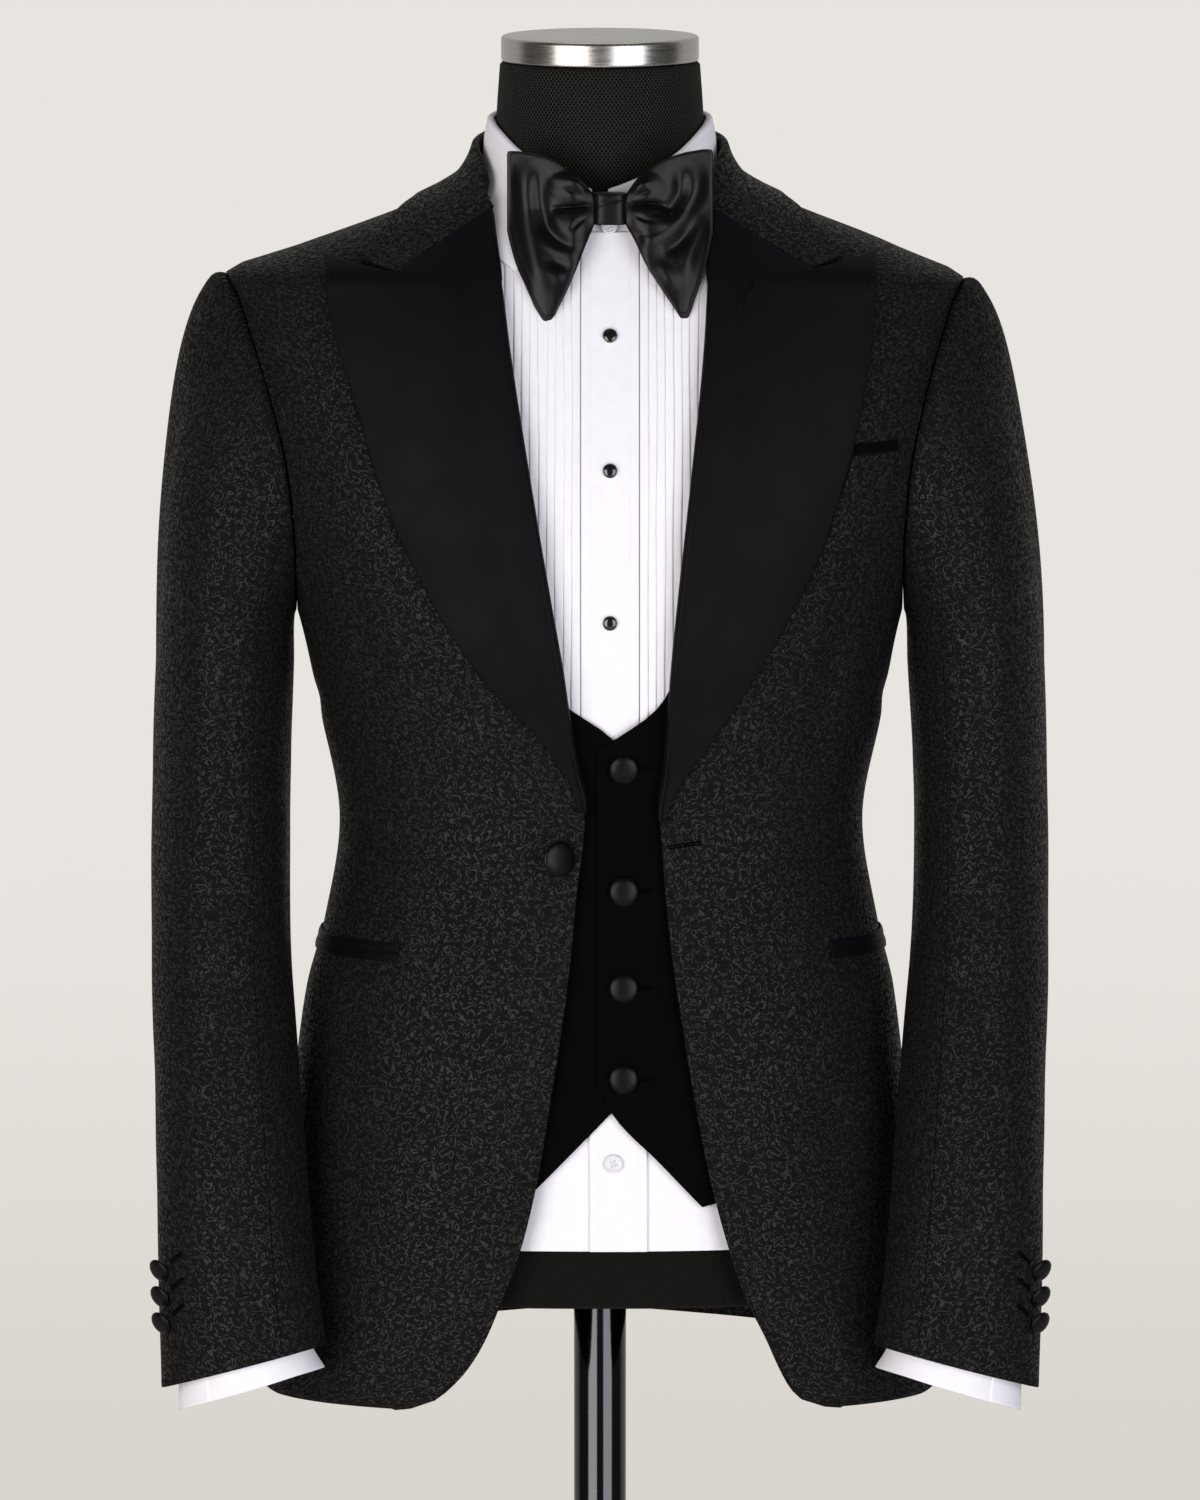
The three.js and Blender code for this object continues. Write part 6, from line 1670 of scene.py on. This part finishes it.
# %% Topstitching and pick stitches
for name, side in SIDES.items():
    place = lapel_place(name)
    t = np.linspace(0.03, 0.985, 160)
    s = np.full_like(t, 1 - 2.2 / 90)
    angle, z = place(s, t)
    seam = on_jacket(side, angle, z, lapel_out(s, t) + LEAF / 2 + 0.02)
    sew(f"lapel_pick_stitches_{name}", [seam], [along_line(seam)], 6.5, 2.0, 0.7, SATIN_THREAD)

rows = np.linspace(SHIRT_HEM + 8, 1380, 260)
lines = [front_of_form(1, placket_middle(rows) + x, rows, PLACKET["high"] + 0.03) for x in (-11.9, 11.9)]
sew("placket_topstitch", lines, [along_line(line) for line in lines], 2.6, 1.9, 0.3, WHITE_THREAD)


# %% Buttonholes
def hole_path(length, width):
    """A buttonhole's outline in its own plane: down one side of the slit, round its eye and back"""
    half = length / 2
    near = [(-half, width), (half - 1.2, width)]
    eye = [(half + 1.4 * math.sin(a), 1.3 * width * math.cos(a)) for a in np.linspace(0.35, np.pi - 0.35, 8)]
    far = [(half - 1.2, -width), (-half, -width)]
    points = np.array(near + eye + far)
    run = np.concatenate([[0], np.cumsum(np.linalg.norm(np.diff(points, axis=0), axis=1))])
    dense = np.linspace(0, run[-1], 90)
    return np.stack([np.interp(dense, run, points[:, a]) for a in (0, 1)], -1)


def buttonhole(name, place, length, width):
    """place(dx, dy) gives a point of the cloth; the slit runs along x"""
    path = hole_path(length, width)
    line = np.array([place(x, y) for x, y in path])
    middle = np.array([place(np.clip(x, -length / 2, length / 2), 0.0) for x, _ in path])
    sew(name, [line], [unit(line - middle)], 0.55, 1.7 * width, 0.6, BLACK_THREAD)


def flat_place(region, side, x, z, tilt, out):
    turn = math.radians(tilt)

    def place(dx, dy):
        px, pz = x + dx * math.cos(turn) - dy * math.sin(turn), z + dx * math.sin(turn) + dy * math.cos(turn)
        return region(side, np.array(px), np.array(pz), out)

    return place


buttonhole("jacket_buttonhole", flat_place(front_of_jacket, 1, 50.5, 1019, 7, 0.3), 18, 0.75)
for i, z in enumerate(WAISTCOAT_BUTTONS["z"]):
    place = flat_place(front_of_form, 1, WAISTCOAT_BUTTONS["x"] + 11, z, 0, OVERLAP_TOP + 0.05)
    buttonhole(f"waistcoat_buttonhole_{i + 1}", place, 9, 0.9)
for name, side in SIDES.items():
    for i in range(CUFF_BUTTONS["count"]):
        def place(dx, dy, t=cuff_button_place(i), side=side):
            angle = math.radians(CUFF_BUTTONS["angle"]) + (13 + dx) / 46
            return on_sleeve(side, np.array(angle), np.array(t - (dy + 0.42 * (13 + dx)) / 424), 0.2)

        buttonhole(f"cuff_buttonhole_{name}_{i + 1}", place, 9, 0.9)

# %% [markdown]
# ## The pieces sewn on each sheet
#
# A table lists, for each sheet, the strips and the threads that are sewn on it.

# %% Sewn-on pieces
# the strips under 10 mm and the threads that are sewn on each sheet
SEWN_ON = {f"jacket_front_{name}": [f"hip_jet_{place}_{name}" for place in ("upper", "lower")] for name in SIDES}
SEWN_ON["jacket_front_left"] += ["breast_pocket_mouth", "jacket_buttonhole"]
SEWN_ON["placket"] = ["placket_topstitch"]
SEWN_ON["waistcoat_front_left"] = [f"waistcoat_buttonhole_{i + 1}" for i in range(len(WAISTCOAT_BUTTONS["z"]))]
for name in SIDES:
    SEWN_ON[f"lapel_{name}"] = [f"lapel_pick_stitches_{name}"]
    SEWN_ON[f"top_sleeve_{name}"] = [f"cuff_buttonhole_{name}_{i + 1}" for i in range(CUFF_BUTTONS["count"])]

# %% [markdown]
# ## Floor, light and camera
#
# The garment is shown as in a shop's product photograph: a plain pale surround, two broad soft lights
# from the front and a softer one from above, so that satin has a long gradient and black cloth still
# shows its weave. The camera is far away with a long lens, level with the chest and a little above.

# %% Stage
def build_floor():
    rings, segments = np.linspace(0, 3.0, 8)[1:], 96
    level = -0.0004  # just under the base, so that they don't meet
    vertices, faces = [(0, 0, level)], []
    for r in rings:
        angles = np.linspace(0, 2 * np.pi, segments + 1)[:-1]
        vertices += [(r * math.cos(a), r * math.sin(a), level) for a in angles]
    for i in range(segments):
        k = (i + 1) % segments
        faces.append((0, 1 + i, 1 + k))
        for j in range(len(rings) - 1):
            a = 1 + j * segments
            faces.append((a + i, a + segments + i, a + segments + k, a + k))
    mesh = bpy.data.meshes.new("floor")
    mesh.from_pydata(vertices, [], faces)
    material, tree = new_material("pale painted floor")
    place = add_node(tree, "ShaderNodeTexCoord").outputs["Object"]
    clouds = add_node(tree, "ShaderNodeTexNoise", {}, {"Vector": place, "Scale": PER_METRE / 400})
    tone = add_node(tree, "ShaderNodeMix", COLOURS, {0: clouds, 6: colour("#d8d5d1"), 7: colour("#dedbd7")})
    finished(material, tree, {"Base Color": tone.outputs[2], "Roughness": 0.9})
    mesh.materials.append(material)
    floor = bpy.data.objects.new("floor", mesh)
    bpy.context.scene.collection.objects.link(floor)


build_floor()

# The camera sees a pale wall, a little darker low down. The light that the room itself gives is that
# wall behind the form, and a dim studio in front of it, where the two softboxes do the work.
world = bpy.data.worlds.new("studio")
bpy.context.scene.world = world
world.use_nodes = True
tree = world.node_tree
tree.nodes.clear()
way = add_node(tree, "ShaderNodeSeparateXYZ", {}, {0: add_node(tree, "ShaderNodeTexCoord").outputs["Generated"]})
low = add_node(tree, "ShaderNodeMapRange", SMOOTHSTEP, {"Value": way.outputs["Z"], 1: -0.18, 2: -0.13})
wall = add_node(tree, "ShaderNodeMix", COLOURS, {0: low, 6: colour("#d9d4ce"), 7: colour("#e8e4df")})
behind = add_node(tree, "ShaderNodeMapRange", SMOOTHSTEP, {
    "Value": way.outputs["Y"], 1: 0.1, 2: 0.4, 3: 0.10, 4: 0.62})
seen = add_node(tree, "ShaderNodeBackground", {}, {"Color": wall.outputs[2]})
lit = add_node(tree, "ShaderNodeBackground", {}, {"Color": colour("#f4f2ef"), "Strength": behind})
both = add_node(tree, "ShaderNodeMixShader", {}, {
    0: add_node(tree, "ShaderNodeLightPath").outputs["Is Camera Ray"], 1: lit, 2: seen})
add_node(tree, "ShaderNodeOutputWorld", {}, {"Surface": both})


def softbox(name, position, target, size, watts, tint):
    light = bpy.data.lights.new(name, "AREA")
    light.shape, light.size, light.size_y = "RECTANGLE", size[0], size[1]
    light.energy, light.color = watts, colour(tint)[:3]
    lamp = bpy.data.objects.new(name, light)
    lamp.location = position
    lamp.rotation_euler = (Vector(target) - Vector(position)).to_track_quat("-Z", "Y").to_euler()
    lamp.visible_camera = False
    bpy.context.scene.collection.objects.link(lamp)


softbox("key light", (-1.75, -2.7, 1.1), (0, 0, 1.1), (2.2, 2.3), 71, "#fffaf6")
softbox("fill light", (1.8, -2.7, 1.1), (0, 0, 1.1), (2.2, 2.3), 60, "#f8f9ff")
softbox("top light", (0, 0.3, 3.6), (0, 0, 1.2), (2.0, 1.4), 8, "#ffffff")

camera = bpy.data.cameras.new("camera")
camera.lens, camera.sensor_width = 354, 36
camera.clip_end = 60
view = bpy.data.objects.new("camera", camera)
elevation, distance, target = math.radians(7.3), 9.0, Vector((0, 0, 1.063))
view.location = target + distance * Vector((0, -math.cos(elevation), math.sin(elevation)))
view.rotation_euler = (target - view.location).to_track_quat("-Z", "Y").to_euler()
bpy.context.scene.collection.objects.link(view)
bpy.context.scene.camera = view
bpy.context.scene.view_settings.view_transform = "Standard"
